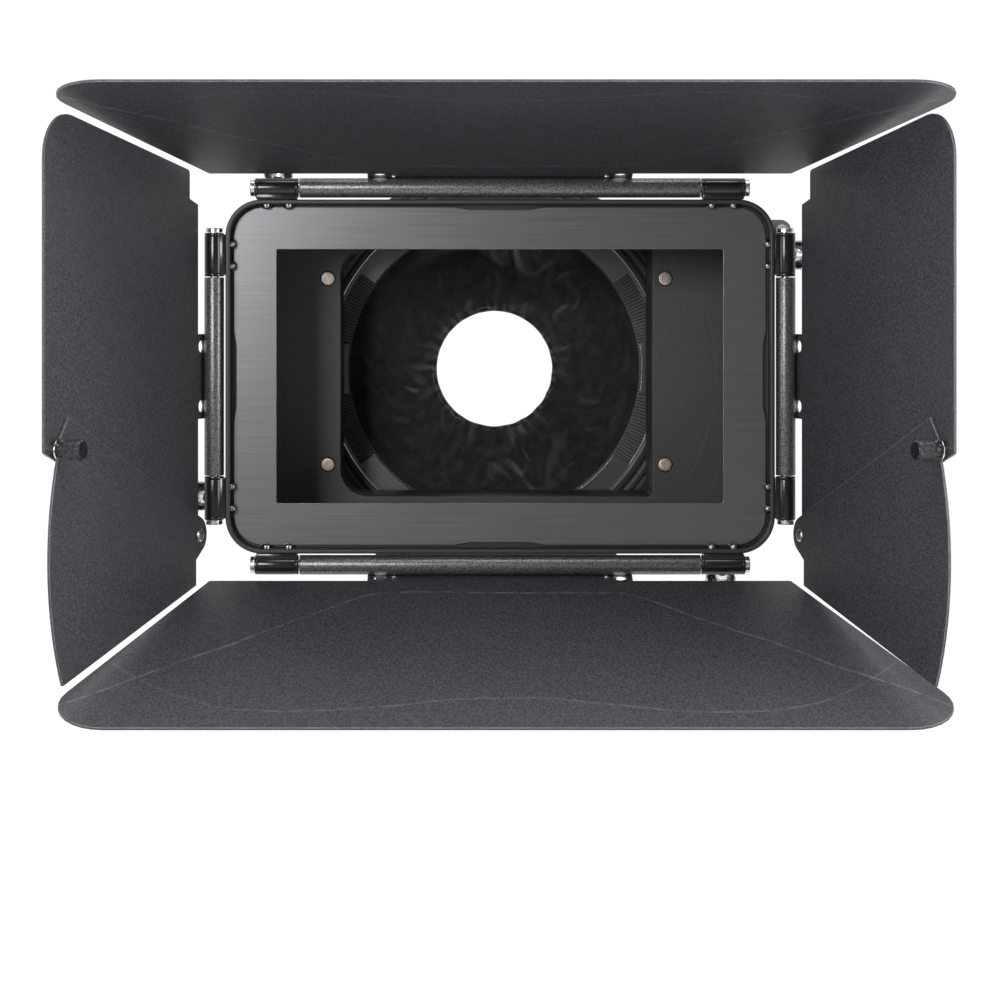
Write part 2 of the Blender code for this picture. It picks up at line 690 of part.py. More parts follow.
def rod_bracket(finish, cap_finish, knob_finish, screw_finish, stack):
    """The bracket under the stage, its clamp cap, the clamp knob and two fixing screws."""
    half = BRACKET_WIDTH / 2
    top = STAGE_HEIGHT / 2 + CLEAR
    split = ROD_DROP
    low, high = BRACKET_DEPTH, BRACKET_DEPTH + BRACKET_THICK
    rods = [circle(ROD_R, 32, (sign * ROD_SPACING / 2, split)) for sign in (-1, 1)]
    upper = half_bores(rods, split - CLEAR, -1)
    c = BRACKET_CHAMFER
    outline = [(half, split - CLEAR), (half, top + c), (half - c, top), (-half + c, top)]
    outline += [(-half, top + c), (-half, split - CLEAR)] + upper
    mesh = plate_mesh("rod_bracket", outline, [], low, high)
    bracket = add("rod_bracket", mesh, finish, stack)
    lower = half_bores(rods, split + CLEAR, 1)
    bottom = split + CAP_BELOW
    outline = [(half, split + CLEAR), (half, bottom - c), (half - c, bottom), (-half + c, bottom)]
    outline += [(-half, bottom - c), (-half, split + CLEAR)] + lower
    mesh = plate_mesh("rod_clamp_cap", outline, [], low, high)
    cap = add("rod_clamp_cap", mesh, cap_finish, stack)
    middle = (low + high) / 2
    upright = stack.matrix_world.inverted() @ spot(0, FRONT + middle, 0)
    hole = rod_mesh("hole", CLAMP_SCREW_R + CLEAR, -bottom - 0.001, -top - CLAMP_SCREW_DEPTH, 20)
    hole.transform(upright)
    boolean(bracket, hole, "DIFFERENCE", "clamp_hole")
    boolean(cap, hole.copy(), "DIFFERENCE", "clamp_hole")
    holder = frame("clamp_knob_axis", spot(0, FRONT + middle, -bottom))
    tip, r, foot = bottom - top - CLAMP_SCREW_DEPTH - 0.001, CLAMP_KNOB_R, -CLAMP_KNOB_H
    profile = [
        (0, tip), (CLAMP_SCREW_R, tip), (CLAMP_SCREW_R, -CLEAR), (CLAMP_COLLAR_R, -CLEAR),
        (CLAMP_COLLAR_R, -CLAMP_COLLAR), (r, -CLAMP_COLLAR - 0.0005), (r, foot + EDGE_CHAMFER),
        (r - EDGE_CHAMFER, foot), (0, foot),
    ]
    add("rod_clamp_knob", turned_mesh("rod_clamp_knob", profile, 24), knob_finish, holder)
    bracket_screws(bracket, screw_finish, top, middle)


def half_bores(rods, edge, sign):
    """Gives the two half-round rod grooves that open at the split line."""
    points = []
    for centre_x in (-ROD_SPACING / 2, ROD_SPACING / 2):
        reach = math.sqrt(ROD_R ** 2 - CLEAR ** 2)
        start = math.atan2(CLEAR, -reach)
        end = math.atan2(CLEAR, reach)
        for k in range(17):
            a = start + (end - start) * k / 16
            points.append((centre_x + ROD_R * math.cos(a), edge + sign * (ROD_R * math.sin(a) - CLEAR)))
    return points


def bracket_screws(bracket, finish, top, middle):
    """Two cap screws that come down through the stage floor into the bracket."""
    cuts = []
    for label, sign in (("left", -1), ("right", 1)):
        x = sign * BRACKET_SCREW_X
        floor = -(top - CLEAR) - CLEAR
        end = floor - BRACKET_SCREW_LENGTH - SCREW_END_GAP
        hole = rod_mesh("hole", BRACKET_SCREW_R + CLEAR, end, floor + 0.001, 16)
        cuts.append((hole, bracket.parent.matrix_world.inverted() @ spot(x, FRONT + middle, 0)))
        profile = [
            (0, floor - BRACKET_SCREW_LENGTH), (BRACKET_SCREW_R, floor - BRACKET_SCREW_LENGTH),
            (BRACKET_SCREW_R, floor - CLEAR), (0, floor - CLEAR),
        ]
        screw = turned_mesh("bracket_stud", profile, 16)
        screw.transform(spot(x, FRONT + middle, 0))
        add(f"bracket_stud_{label}", screw, finish)
    boolean(bracket, joined("holes", cuts), "DIFFERENCE", "stud_holes")


def mount_screw_places(side, sign):
    """Gives the two mounting screws' places along a hinge, for the barrel at one end."""
    centre = sign * (side["tube"] + TUBE_GAP + BARREL_LENGTH / 2)
    return [centre - MOUNT_SCREW_PITCH / 2, centre + MOUNT_SCREW_PITCH / 2]


def barrel(side, sign, finish, fixed):
    """A hinge barrel on the rim, with its foot and the two screws through the rim wall."""
    inner = side["tube"] + TUBE_GAP
    span = sorted((sign * inner, sign * (inner + BARREL_LENGTH)))
    name = f"hinge_barrel_{side['name']}_{side['ends'][sign]}"
    body_mesh = tube_mesh(name, BARREL_R, ROD_PIN_R + CLEAR, span[0], span[1], 20)
    body_mesh.transform(ALONG_X)
    body = add(name, body_mesh, finish, fixed)
    parts = []
    foot_low = (span[0] + BARREL_FOOT_INSET, -BARREL_FOOT_W / 2, -AXIS_OUT + CLEAR)
    foot_high = (span[1] - BARREL_FOOT_INSET, BARREL_FOOT_W / 2, -ROD_PIN_R - CLEAR - FOOT_OVERLAP)
    foot = add(f"guide_{name}_foot", block_mesh("foot", foot_low, foot_high), None, fixed, guide=True)
    union = body.modifiers.new("foot", "BOOLEAN")
    union.operation = "UNION"
    union.solver = "EXACT"
    union.object = foot
    under = -AXIS_OUT - WALL - CLEAR
    tip = foot_high[2] - FOOT_OVERLAP
    for x in mount_screw_places(side, sign):
        profile = [
            (0, tip), (MOUNT_SCREW_R, tip), (MOUNT_SCREW_R, under), (MOUNT_SCREW_HEAD_R, under),
            (MOUNT_SCREW_HEAD_R, under - MOUNT_SCREW_HEAD * 0.55),
            (MOUNT_SCREW_HEAD_R * 0.72, under - MOUNT_SCREW_HEAD), (0, under - MOUNT_SCREW_HEAD),
        ]
        parts.append((turned_mesh("screw", profile, 10), spot(x, 0, 0)))
    boolean(body, joined("screws", parts), "UNION", "screws")
    if sign == side["lock"]:
        socket = rod_mesh("socket", LOCK_SOCKET_R, ROD_PIN_R, BARREL_R + 0.002, 16)
        socket.transform(lock_matrix(side, sign))
        boolean(body, socket, "DIFFERENCE", "lock_socket")


def lock_matrix(side, sign):
    """Local z along the lock knob, outwards and back, from the middle of a barrel."""
    centre = sign * (side["tube"] + TUBE_GAP + BARREL_LENGTH / 2)
    return spot(centre, 0, 0, Matrix.Rotation(LOCK_LEAN, 4, "X"))


def lock_knob(side, finish):
    """The knurled knob whose screw presses the hinge rod in its barrel."""
    sign = side["lock"]
    holder = frame(f"lock_axis_{side['name']}", side["fixed"] @ lock_matrix(side, sign))
    r, c = LOCK_HEAD_R, KNOB_CHAMFER
    tip, shoulder = ROD_PIN_R + CLEAR, BARREL_R + TUBE_GAP
    low, high = LOCK_NECK_END, LOCK_NECK_END + LOCK_HEAD
    profile = [
        (0, tip), (LOCK_SCREW_R, tip), (LOCK_SCREW_R, shoulder), (LOCK_NECK_R, shoulder),
        (LOCK_NECK_R, low), (r - c, low), (r, low + c), (r, high - c), (r - c, high), (0, high),
    ]
    name = f"lock_knob_{side['name']}"
    add(name, turned_mesh(name, profile, 18), finish, holder)


def hinge_rod(side, finish, moving):
    """The long bolt through tube and barrels, with its head at one end."""
    reach = side["tube"] + TUBE_GAP + BARREL_LENGTH + CLEAR
    end = reach + END_CAP_LENGTH
    c = KNOB_CHAMFER
    profile = [
        (0, -end), (END_CAP_R - c, -end), (END_CAP_R, -end + c), (END_CAP_R, -reach),
        (ROD_PIN_R, -reach), (ROD_PIN_R, end), (0, end),
    ]
    name = f"hinge_rod_{side['name']}"
    mesh = turned_mesh(name, profile, 18)
    mesh.transform(ALONG_X)
    add(name, mesh, finish, moving)
    bore = ROD_PIN_R + CLEAR
    profile = [(bore, reach), (END_CAP_R, reach), (END_CAP_R, end - c), (END_CAP_R - c, end), (bore, end)]
    name = f"hinge_nut_{side['name']}"
    mesh = turned_mesh(name, profile, 20)
    mesh.transform(ALONG_X)
    add(name, mesh, finish, moving)


def hinge_tube(side, finish, moving):
    """The textured tube that the flag is fixed to."""
    name = f"hinge_tube_{side['name']}"
    mesh = tube_mesh(name, TUBE_R, TUBE_BORE_R, -side["tube"], side["tube"])
    mesh.transform(ALONG_X)
    add(name, mesh, finish, moving)


def tongue_holes(half):
    """Two round holes in the tongue that lies on the hinge tube."""
    reach = HINGE_EDGE - TONGUE_HOLE_R - 0.0004
    return [circle(TONGUE_HOLE_R, 20, (sign * (half - TONGUE_HOLE_INSET), reach)) for sign in (-1, 1)]


def sheet_base():
    """Height of a flag's inner face over its hinge axis: it lies on the tube."""
    return TUBE_R + CLEAR


def wide_flag(side, finish, moving):
    """The upper or lower flag: flared sides, round front corners, tongue at the hinge."""
    w, t, back = FLAG_HALF_WIDTH, TONGUE_HALF_TOP, -TONGUE_BACK
    tip = HINGE_EDGE + FLAG_LENGTH
    wide = w + FLAG_LENGTH * math.tan(FLAG_FLARE)
    outline = filleted([
        (-t, back, 0.002), (t, back, 0.002), (t, HINGE_EDGE, 0), (w, HINGE_EDGE, 0.001),
        (wide, tip, FLAG_CORNER), (-wide, tip, FLAG_CORNER), (-w, HINGE_EDGE, 0.001), (-t, HINGE_EDGE, 0),
    ], FLAG_STEPS)
    name = f"flag_{side['name']}"
    base = sheet_base()
    add(name, plate_mesh(name, outline, tongue_holes(t), base, base + SHEET), finish, moving)


def up(side, points):
    """Turns (height, reach) pairs of a side flag into its local x and y."""
    sign = side["up"]
    made = [(sign * p[0], HINGE_EDGE + p[1], *p[2:]) for p in points]
    return made if sign > 0 else made[::-1]


def pivot_place(side):
    """Local x and y of the wing pivot."""
    return up(side, [(-PIVOT_DROP, PIVOT_REACH)])[0]


def stud_place(side):
    """Local x and y of the clamp stud, just outside the wing's round edge."""
    reach = WING_R + CLEAR + STUD_R
    height = -PIVOT_DROP + reach * math.sin(STUD_ANGLE)
    return up(side, [(height, PIVOT_REACH + reach * math.cos(STUD_ANGLE))])[0]


def side_flag(side, finish, moving):
    """A side flag, with its tongue, stepped rear edge and slanting lower edge."""
    t, back = TONGUE_HALF_SIDE, -HINGE_EDGE - TONGUE_BACK
    outer = SIDE_TOP_INNER + (FLAG_LENGTH - SIDE_NOTCH_REACH) * SIDE_TOP_SLOPE
    corners = [
        (-SIDE_LOW_INNER, 0, 0.005), (-t, 0, 0), (-t, back, 0.002), (t, back, 0.002), (t, 0, 0),
        (SIDE_NOTCH_LOW, 0, 0), (SIDE_NOTCH_HIGH, SIDE_NOTCH_REACH, 0),
        (SIDE_TOP_INNER, SIDE_NOTCH_REACH, 0.002), (outer, FLAG_LENGTH, SIDE_TOP_ROUND),
        (-SIDE_LOW_OUTER, FLAG_LENGTH, 0.001),
    ]
    outline = filleted(up(side, corners), FLAG_STEPS)
    holes = tongue_holes(t) + [circle(PIVOT_HOLE_R, 16, pivot_place(side))]
    holes.append(circle(STUD_R + CLEAR, 16, stud_place(side)))
    name = f"flag_{side['name']}"
    base = sheet_base()
    add(name, plate_mesh(name, outline, holes, base, base + SHEET), finish, moving)


def wing_outline(side):
    """The wing: a fan about its pivot with a hooked upper corner and a straight lower edge."""
    centre = (-PIVOT_DROP, PIVOT_REACH)

    def polar(radius, angle):
        return (centre[0] + radius * math.sin(angle), centre[1] + radius * math.cos(angle))

    points = [(-WING_HEEL_DROP, WING_HEEL_REACH)]
    for k in range(19):
        points.append(polar(WING_R, WING_ARC_LOW + (WING_ARC_HIGH - WING_ARC_LOW) * k / 18))
    points.append(polar(WING_R + WING_HOOK, WING_ARC_HIGH + WING_HOOK_ANGLE))
    points.append((-WING_TOP, WING_TOP_REACH))
    rise, run = -WING_TOP - centre[0], WING_TOP_REACH - centre[1]
    tangent = math.atan2(rise, run) + math.acos(WING_BOSS_R / math.hypot(rise, run))
    for k in range(13):
        points.append(polar(WING_BOSS_R, tangent + (WING_BOSS_END - tangent) * k / 12))
    points.append((-PIVOT_DROP - WING_BOSS_R * 1.35, WING_HEEL_REACH))
    return up(side, points)


def wing(side, finish, screw_finish, knob_finish, moving):
    """The wing on the inner face of a side flag, its pivot screw and its clamp knob."""
    name = side["name"]
    x, y = pivot_place(side)
    high = sheet_base() - CLEAR
    low = high - SHEET
    hole = circle(PIVOT_HOLE_R, 16, (x, y))
    plate = plate_mesh(f"wing_{name}", wing_outline(side), [hole], low, high)
    plate.transform(Matrix.Translation((-x, -y, 0)))
    holder = frame(f"wing_axis_{name}", moving.matrix_world @ spot(x, y, 0))
    add(f"wing_{name}", plate, finish, holder)
    inner = low - CLEAR
    outer = sheet_base() + SHEET + CLEAR
    top, end = inner - PIVOT_HEAD, outer + STUD_NUT
    profile = [
        (0, top), (PIVOT_HEAD_R * 0.6, top), (PIVOT_HEAD_R, (top + inner) / 2), (PIVOT_HEAD_R, inner),
        (PIVOT_SCREW_R, inner), (PIVOT_SCREW_R, outer), (STUD_NUT_R, outer), (STUD_NUT_R, end), (0, end),
    ]
    screw = turned_mesh(f"wing_pivot_{name}", profile, 20)
    screw.transform(Matrix.Translation((x, y, 0)))
    add(f"wing_pivot_{name}", screw, screw_finish, moving)
    sx, sy = stud_place(side)
    holder = frame(f"wing_knob_axis_{name}", moving.matrix_world @ spot(sx, sy, 0))
    neck = inner - KNOB_WASHER
    head = neck - KNOB_NECK
    top, c = head - KNOB_HEAD, KNOB_CHAMFER
    profile = [
        (0, top), (KNOB_HEAD_R - c, top), (KNOB_HEAD_R, top + c), (KNOB_HEAD_R, head - c),
        (KNOB_HEAD_R - c, head), (KNOB_NECK_R, head), (KNOB_NECK_R, neck), (KNOB_WASHER_R, neck),
        (KNOB_WASHER_R, inner), (STUD_R, inner), (STUD_R, outer), (STUD_NUT_R, outer), (STUD_NUT_R, end),
        (0, end),
    ]
    add(f"wing_knob_{name}", turned_mesh(f"wing_knob_{name}", profile, 16), knob_finish, holder)


def hinge_side(name, quarter, radius, tilt, tube, lock, ends, up_sign=0):
    """Describes one hinge line: its fixed frame, its flag's frame and its sizes."""
    fixed = Matrix.Rotation(quarter * math.pi / 2, 4, "Y") @ spot(0, FRONT + AXIS_DEPTH, radius)
    turned = fixed @ Matrix.Rotation(-tilt, 4, "X") @ Matrix.Rotation(math.pi, 4, "Z")
    fixed = fixed @ Matrix.Rotation(math.pi, 4, "Z")
    return {
        "name": name, "fixed": fixed, "moving": turned, "tube": tube, "lock": lock,
        "ends": {-1: ends[0], 1: ends[1]}, "up": up_sign,
    }


HIGH = RIM_HEIGHT / 2 + AXIS_OUT
WIDE = RIM_WIDTH / 2 + AXIS_OUT
# Local x runs to the left above, up on the right, to the right below and down on the left.
SIDES = [
    hinge_side("top", 0, HIGH, TILT_TOP, TUBE_HALF_TOP, 1, ("right", "left")),
    hinge_side("right", 1, WIDE, TILT_RIGHT, TUBE_HALF_SIDE, 1, ("lower", "upper"), 1),
    hinge_side("bottom", 2, HIGH, TILT_BOTTOM, TUBE_HALF_TOP, 1, ("left", "right")),
    hinge_side("left", 3, WIDE, TILT_LEFT, TUBE_HALF_SIDE, 1, ("upper", "lower"), -1),
]


def build():
    """Builds every piece."""
    clear_scene()
    rim_black = material("rim_black", (0.045, 0.047, 0.052), 0.45, 0.6)
    mask_grey = material("mask_grey", (0.085, 0.086, 0.090), 0.42, 0.5)
    stage_black = material("stage_black", (0.020, 0.020, 0.022), 0.5, 0.2)
    powder = material("powder_coat", (0.032, 0.036, 0.045), 0.65)
    tube_black = material("tube_black", (0.030, 0.030, 0.032), 0.5, 0.3)
    gloss_black = material("gloss_black", (0.012, 0.012, 0.013), 0.15, 0.5)
    steel = material("bright_steel", (0.62, 0.61, 0.59), 0.25, 1.0)
    knob_black = material("knob_black", (0.022, 0.022, 0.024), 0.35, 0.6)
    elastic = material("elastic_weave", (0.012, 0.012, 0.013), 0.9)
    cloth = material("cuff_cloth", (0.008, 0.008, 0.009), 0.95)
    stack = frame("stack", STACK)
    hood_shell(rim_black, stack)
    mask_plate(mask_grey, stack)
    stage_plate(stage_black, steel, stack)
    filter_stage(stage_black, stack)
    tray_lock(steel, stack)
    filter_tray("filter_tray_front", 0, rim_black, stack)
    filter_tray("filter_tray_rear", 1, rim_black, stack)
    rear_housing(rim_black, steel, stack)
    lens_port_ring(rim_black, stack)
    finger_retainer(mask_grey, stack)
    elastic_band(elastic, stack)
    fabric_donut(cloth, stack)
    rod_bracket(stage_black, stage_black, knob_black, steel, stack)
    for side in SIDES:
        fixed = frame(f"hinge_line_{side['name']}", side["fixed"])
        moving = frame(f"flag_axis_{side['name']}", side["moving"])
        for sign in (-1, 1):
            barrel(side, sign, gloss_black, fixed)
        lock_knob(side, steel)
        hinge_rod(side, steel, moving)
        hinge_tube(side, tube_black, moving)
        if side["up"]:
            side_flag(side, powder, moving)
            wing(side, powder, steel, knob_black, moving)
        else:
            wide_flag(side, powder, moving)


build()
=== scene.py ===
"""Finished surfaces for a four-flag matte box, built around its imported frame.

Metres throughout. +X is right seen from the front, +Y goes towards the camera body, +Z is up.
Pieces that are turned about the optical axis use the stack frame: local x right, y down, z depth.
"""
import json
import functools
import math

import bmesh
import bpy
from bpy.props import FloatProperty, FloatVectorProperty, IntProperty, PointerProperty
from mathutils import Matrix, Vector, noise


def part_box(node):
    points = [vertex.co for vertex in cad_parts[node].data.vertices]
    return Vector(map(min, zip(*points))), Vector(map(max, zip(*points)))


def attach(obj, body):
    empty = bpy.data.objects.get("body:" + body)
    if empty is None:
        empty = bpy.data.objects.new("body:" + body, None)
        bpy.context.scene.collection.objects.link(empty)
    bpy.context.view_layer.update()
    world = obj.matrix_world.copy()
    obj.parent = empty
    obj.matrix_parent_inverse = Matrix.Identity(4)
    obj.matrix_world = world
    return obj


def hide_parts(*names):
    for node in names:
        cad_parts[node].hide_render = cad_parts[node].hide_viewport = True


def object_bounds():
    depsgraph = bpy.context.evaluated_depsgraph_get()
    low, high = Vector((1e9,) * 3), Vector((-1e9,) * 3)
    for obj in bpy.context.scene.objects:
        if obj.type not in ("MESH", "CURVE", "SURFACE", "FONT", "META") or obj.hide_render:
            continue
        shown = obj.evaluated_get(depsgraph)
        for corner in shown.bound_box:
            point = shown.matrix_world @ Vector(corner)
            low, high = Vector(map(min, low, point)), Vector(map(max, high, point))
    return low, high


bl_info = {
    "name": "Matte box finish",
    "version": (1, 0, 0),
    "blender": (4, 5, 0),
    "location": "3D View > Sidebar > Matte box",
    "description": "Builds the finished surfaces of a four-flag matte box",
    "category": "Object",
}

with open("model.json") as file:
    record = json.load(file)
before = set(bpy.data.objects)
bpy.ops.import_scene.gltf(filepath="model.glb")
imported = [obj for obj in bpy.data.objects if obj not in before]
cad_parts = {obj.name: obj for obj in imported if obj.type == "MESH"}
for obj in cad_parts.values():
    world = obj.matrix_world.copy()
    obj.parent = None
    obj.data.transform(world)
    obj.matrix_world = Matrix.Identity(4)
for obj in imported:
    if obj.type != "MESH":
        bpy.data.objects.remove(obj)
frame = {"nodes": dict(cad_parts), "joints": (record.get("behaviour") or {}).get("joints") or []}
CAD_LOW, CAD_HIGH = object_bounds()

MERGE = 2e-6
SIDES = ("top", "right", "bottom", "left")
SIDE_ENDS = {
    "top": ("right", "left"), "right": ("lower", "upper"),
    "bottom": ("left", "right"), "left": ("upper", "lower"),
}
JOINTS = {joint["name"]: joint for joint in frame["joints"]}
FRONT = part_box("hood_shell")[0].y
STACK = Matrix.Translation((0, FRONT, 0)) @ Matrix.Rotation(-math.pi / 2, 4, "X")


def length(name, text, default, low=0.0, high=1.0):
    """Gives a length property in metres."""
    return FloatProperty(
        name=name, description=text, default=default, min=low, max=high, unit="LENGTH", precision=5)


def tint(name, text, default):
    """Gives a colour property."""
    return FloatVectorProperty(
        name=name, description=text, default=default, size=3, min=0.0, max=1.0, subtype="COLOR")


class HousingSizes(bpy.types.PropertyGroup):
    """Sizes of the box-shaped front housing and of the round housing behind it."""
    wall: length("Wall", "Thickness of the front housing's walls", 0.002)
    corner: length("Corner", "Outer corner radius of the front housing", 0.016)
    lip: length("Lip", "Rounding of the front edge", 0.0006)
    ledge: length("Ledge", "Height of the ledge under the mask", 0.0035)
    ledge_depth: length("Ledge depth", "Front of the ledge behind the front edge", 0.0088)
    ledge_thick: length("Ledge thickness", "Thickness of the ledge", 0.0025)
    flange: length("Flange", "Height of the rear flange from the outside", 0.014)
    flange_thick: length("Flange thickness", "Thickness of the rear flange", 0.0014)
    edge: length("Edge", "Rounding of milled edges", 0.00025)
    bracket_edge: length("Bracket edge", "Rounding of the rod bracket's edges", 0.0006)
    port_wall: length("Port wall", "Thickness of the lens port ring", 0.008)
    lip_radius: length("Lip radius", "Inner radius of the round housing's front lip", 0.0863)
    lip_thick: length("Lip thickness", "Thickness of the round housing's front lip", 0.0036)
    groove: length("Groove", "Depth of the turned grooves", 0.0005)


class HingeSizes(bpy.types.PropertyGroup):
    """Sizes along the four hinge lines."""
    tube: length("Tube", "Outer radius of the hinge tubes", 0.00435)
    barrel: length("Barrel", "Outer radius of the hinge barrels", 0.0043)
    foot_width: length("Foot", "Width of the barrels' feet", 0.0068)
    out: length("Stand-off", "Hinge axis outside the front housing's face", 0.0053)
    cap: length("Cap", "Radius of the bolt heads and nuts", 0.0037)
    cap_length: length("Cap length", "Length of the bolt heads and nuts", 0.0019)
    screw_pitch: length("Screw pitch", "Distance between a barrel's two screws", 0.0097)
    screw_head: length("Screw head", "Radius of the barrels' screw heads", 0.0021)
    knob_neck: length("Knob neck", "Radius of a lock knob's neck", 0.0029)
    knob_radius: length("Knob", "Radius of a lock knob", 0.00675)
    knob_start: length("Knob start", "Knob head from the hinge axis", 0.0100)
    knob_length: length("Knob length", "Length of a lock knob's head", 0.0055)
    knob_teeth: IntProperty(name="Knob teeth", description="Ridges round a lock knob", default=40, min=8)


class CuffSizes(bpy.types.PropertyGroup):
    """Sizes of the cloth cuff and what holds it."""
    fingers: IntProperty(name="Fingers", description="Spring fingers of the retainer", default=8, min=3)
    finger_half: FloatProperty(
        name="Finger half angle", description="Half the angle that a finger covers",
        default=math.radians(9.5), subtype="ANGLE")
    finger_inner: length("Finger reach", "Inner radius of the fingers", 0.0726)
    band: length("Band", "Width of the band that joins the fingers", 0.0014)
    rim: length("Rim", "Radius of the cloth behind the elastic", 0.0742)
    elastic: length("Elastic", "Inner radius of the elastic", 0.0716)
    hole: length("Hole", "Radius of the gathered hole", 0.0295)
    bulge: length("Bulge", "How far the cloth stands forward of its clamped edge", 0.0062)
    cut_rim: length("Cut rim", "Radius of the cut cloth at its outer edge", 0.0790)
    cut_hole: length("Cut hole", "Radius of the cut cloth at its gathered edge", 0.0520)
    cut_length: length("Cut length", "Length of the cut cloth from edge to edge", 0.0520)
    pleats: IntProperty(name="Pleats", description="Folds round the gathered hole", default=19, min=6)
    ribs: IntProperty(name="Ribs", description="Ribs round the elastic", default=300, min=60)


class FinishColours(bpy.types.PropertyGroup):
    """Base colours of the finishes."""
    rim: tint("Rim", "Satin black of the housings", (0.024, 0.025, 0.027))
    mask: tint("Mask", "Dark grey of the mask and the retainer", (0.128, 0.129, 0.133))
    stage: tint("Stage", "Matt black of the stage", (0.050, 0.050, 0.052))
    powder: tint("Powder", "Charcoal of the flags", (0.0240, 0.0246, 0.0285))
    tube: tint("Tube", "Black of the hinge tubes", (0.085, 0.084, 0.082))
    gloss: tint("Gloss", "Polished black of the barrels", (0.016, 0.016, 0.017))
    steel: tint("Steel", "Bright steel", (0.640, 0.625, 0.600))
    warm: tint("Warm steel", "Steel of the stage screws", (0.560, 0.480, 0.420))
    knob: tint("Knob", "Black of the clamp knobs", (0.022, 0.022, 0.024))
    elastic: tint("Elastic", "Black of the elastic", (0.085, 0.085, 0.086))
    cloth: tint("Cloth", "Black of the cuff", (0.019, 0.019, 0.020))


class StageSettings(bpy.types.PropertyGroup):
    """Floor, lights and camera."""
    floor_drop: length("Floor drop", "Floor below the lowest point of the object", 0.45, high=5.0)
    distance: length("Distance", "Camera in front of the rim", 1.100, high=10.0)
    side: length("Side", "Camera to the left of the optical axis", 0.0234)
    height: length("Height", "Camera above the optical axis", 0.0324)
    lens: FloatProperty(name="Lens", description="Focal length in millimetres", default=89.96, min=10.0)
    key: FloatProperty(name="Key", description="Power of the key light", default=6.5, min=0.0, unit="POWER")
    top: FloatProperty(name="Top", description="Power of the upper light", default=13.0, min=0.0, unit="POWER")
    left: FloatProperty(name="Left", description="Power of the left light", default=3.4, min=0.0, unit="POWER")
    right: FloatProperty(name="Right", description="Power of the right light", default=9.5, min=0.0, unit="POWER")
    glow: FloatProperty(name="Glow", description="Light of the pale floor itself", default=0.40, min=0.0)
    front: FloatProperty(name="Front", description="Brightness of the room in front", default=0.34, min=0.0)
    back: FloatProperty(name="Back", description="Brightness of the room behind", default=1.30, min=0.0)


# Meshes ------------------------------------------------------------------------------------------


def mesh_from(bm, name, recalculate=True):
    """Turns a bmesh into a smooth mesh whose faces point outwards."""
    bmesh.ops.remove_doubles(bm, verts=bm.verts, dist=MERGE)
    if recalculate:
        bmesh.ops.recalc_face_normals(bm, faces=bm.faces)
    mesh = bpy.data.meshes.new(name)
    bm.to_mesh(mesh)
    bm.free()
    mesh.shade_smooth()
    mesh.set_sharp_from_angle(angle=math.radians(38))
    return mesh


def circle(radius, count, centre=(0.0, 0.0)):
    """Gives the points of a circle."""
    turns = [2 * math.pi * i / count for i in range(count)]
    return [(centre[0] + radius * math.cos(a), centre[1] + radius * math.sin(a)) for a in turns]


def filleted(corners, steps=12, closed=True):
    """Gives an outline through (x, y, radius) corners, each rounded by its radius."""
    points = []
    for i, (x, y, radius) in enumerate(corners):
        end = not closed and i in (0, len(corners) - 1)
        if radius <= 0 or end:
            points.append((x, y))
            continue
        here = Vector((x, y))
        back = Vector(corners[i - 1][:2]) - here
        ahead = Vector(corners[(i + 1) % len(corners)][:2]) - here
        half = back.angle(ahead) / 2
        reach = min(radius / math.tan(half), back.length / 2.01, ahead.length / 2.01)
        back.normalize()
        ahead.normalize()
        centre = here + (back + ahead).normalized() * (reach / math.cos(half))
        start = here + back * reach - centre
        sweep = (math.pi - 2 * half) * (1 if back.cross(ahead) < 0 else -1)
        for k in range(steps + 1):
            turned_to = Matrix.Rotation(sweep * k / steps, 2) @ start
            points.append(tuple(centre + turned_to))
    return points


def rounded_box(width, height, radius, steps=12):
    """Gives the outline of a rectangle with round corners, about the origin."""
    w, h = width / 2, height / 2
    return filleted([(w, -h, radius), (w, h, radius), (-w, h, radius), (-w, -h, radius)], steps)


def loft(name, rings, closed=False, matrix=None):
    """Joins rings of equally many 3-D points; ends are capped unless the loft is closed."""
    bm = bmesh.new()
    loops = [[bm.verts.new(p) for p in ring] for ring in rings]
    pairs = list(zip(loops, loops[1:]))
    if closed:
        pairs.append((loops[-1], loops[0]))
    for one, two in pairs:
        for i in range(len(one)):
            bm.faces.new((one[i - 1], one[i], two[i], two[i - 1]))
    if not closed:
        bm.faces.new(loops[0])
        bm.faces.new(loops[-1])
    if matrix:
        bm.transform(matrix)
    return mesh_from(bm, name)


def turned(name, profile, count=64, matrix=None, ease=0.0, steps=3):
    """Turns (radius, height) points about local z, with eased corners; radius 0 ends are poles."""
    ring = profile[0][0] > 0
    if ease > 0:
        profile = filleted([(r, z, ease) for r, z in profile], steps, closed=ring)
    bm = bmesh.new()
    loops = []
    for radius, height in profile:
        if radius <= 0:
            loops.append([bm.verts.new((0, 0, height))])
        else:
            loops.append([bm.verts.new((x, y, height)) for x, y in circle(radius, count)])
    pairs = list(zip(loops, loops[1:]))
    if ring:
        pairs.append((loops[-1], loops[0]))
    for one, two in pairs:
        for i in range(count):
            if len(one) == 1:
                bm.faces.new((one[0], two[i], two[i - 1]))
            elif len(two) == 1:
                bm.faces.new((one[i - 1], one[i], two[0]))
            else:
                bm.faces.new((one[i - 1], one[i], two[i], two[i - 1]))
    if matrix:
        bm.transform(matrix)
    return mesh_from(bm, name)


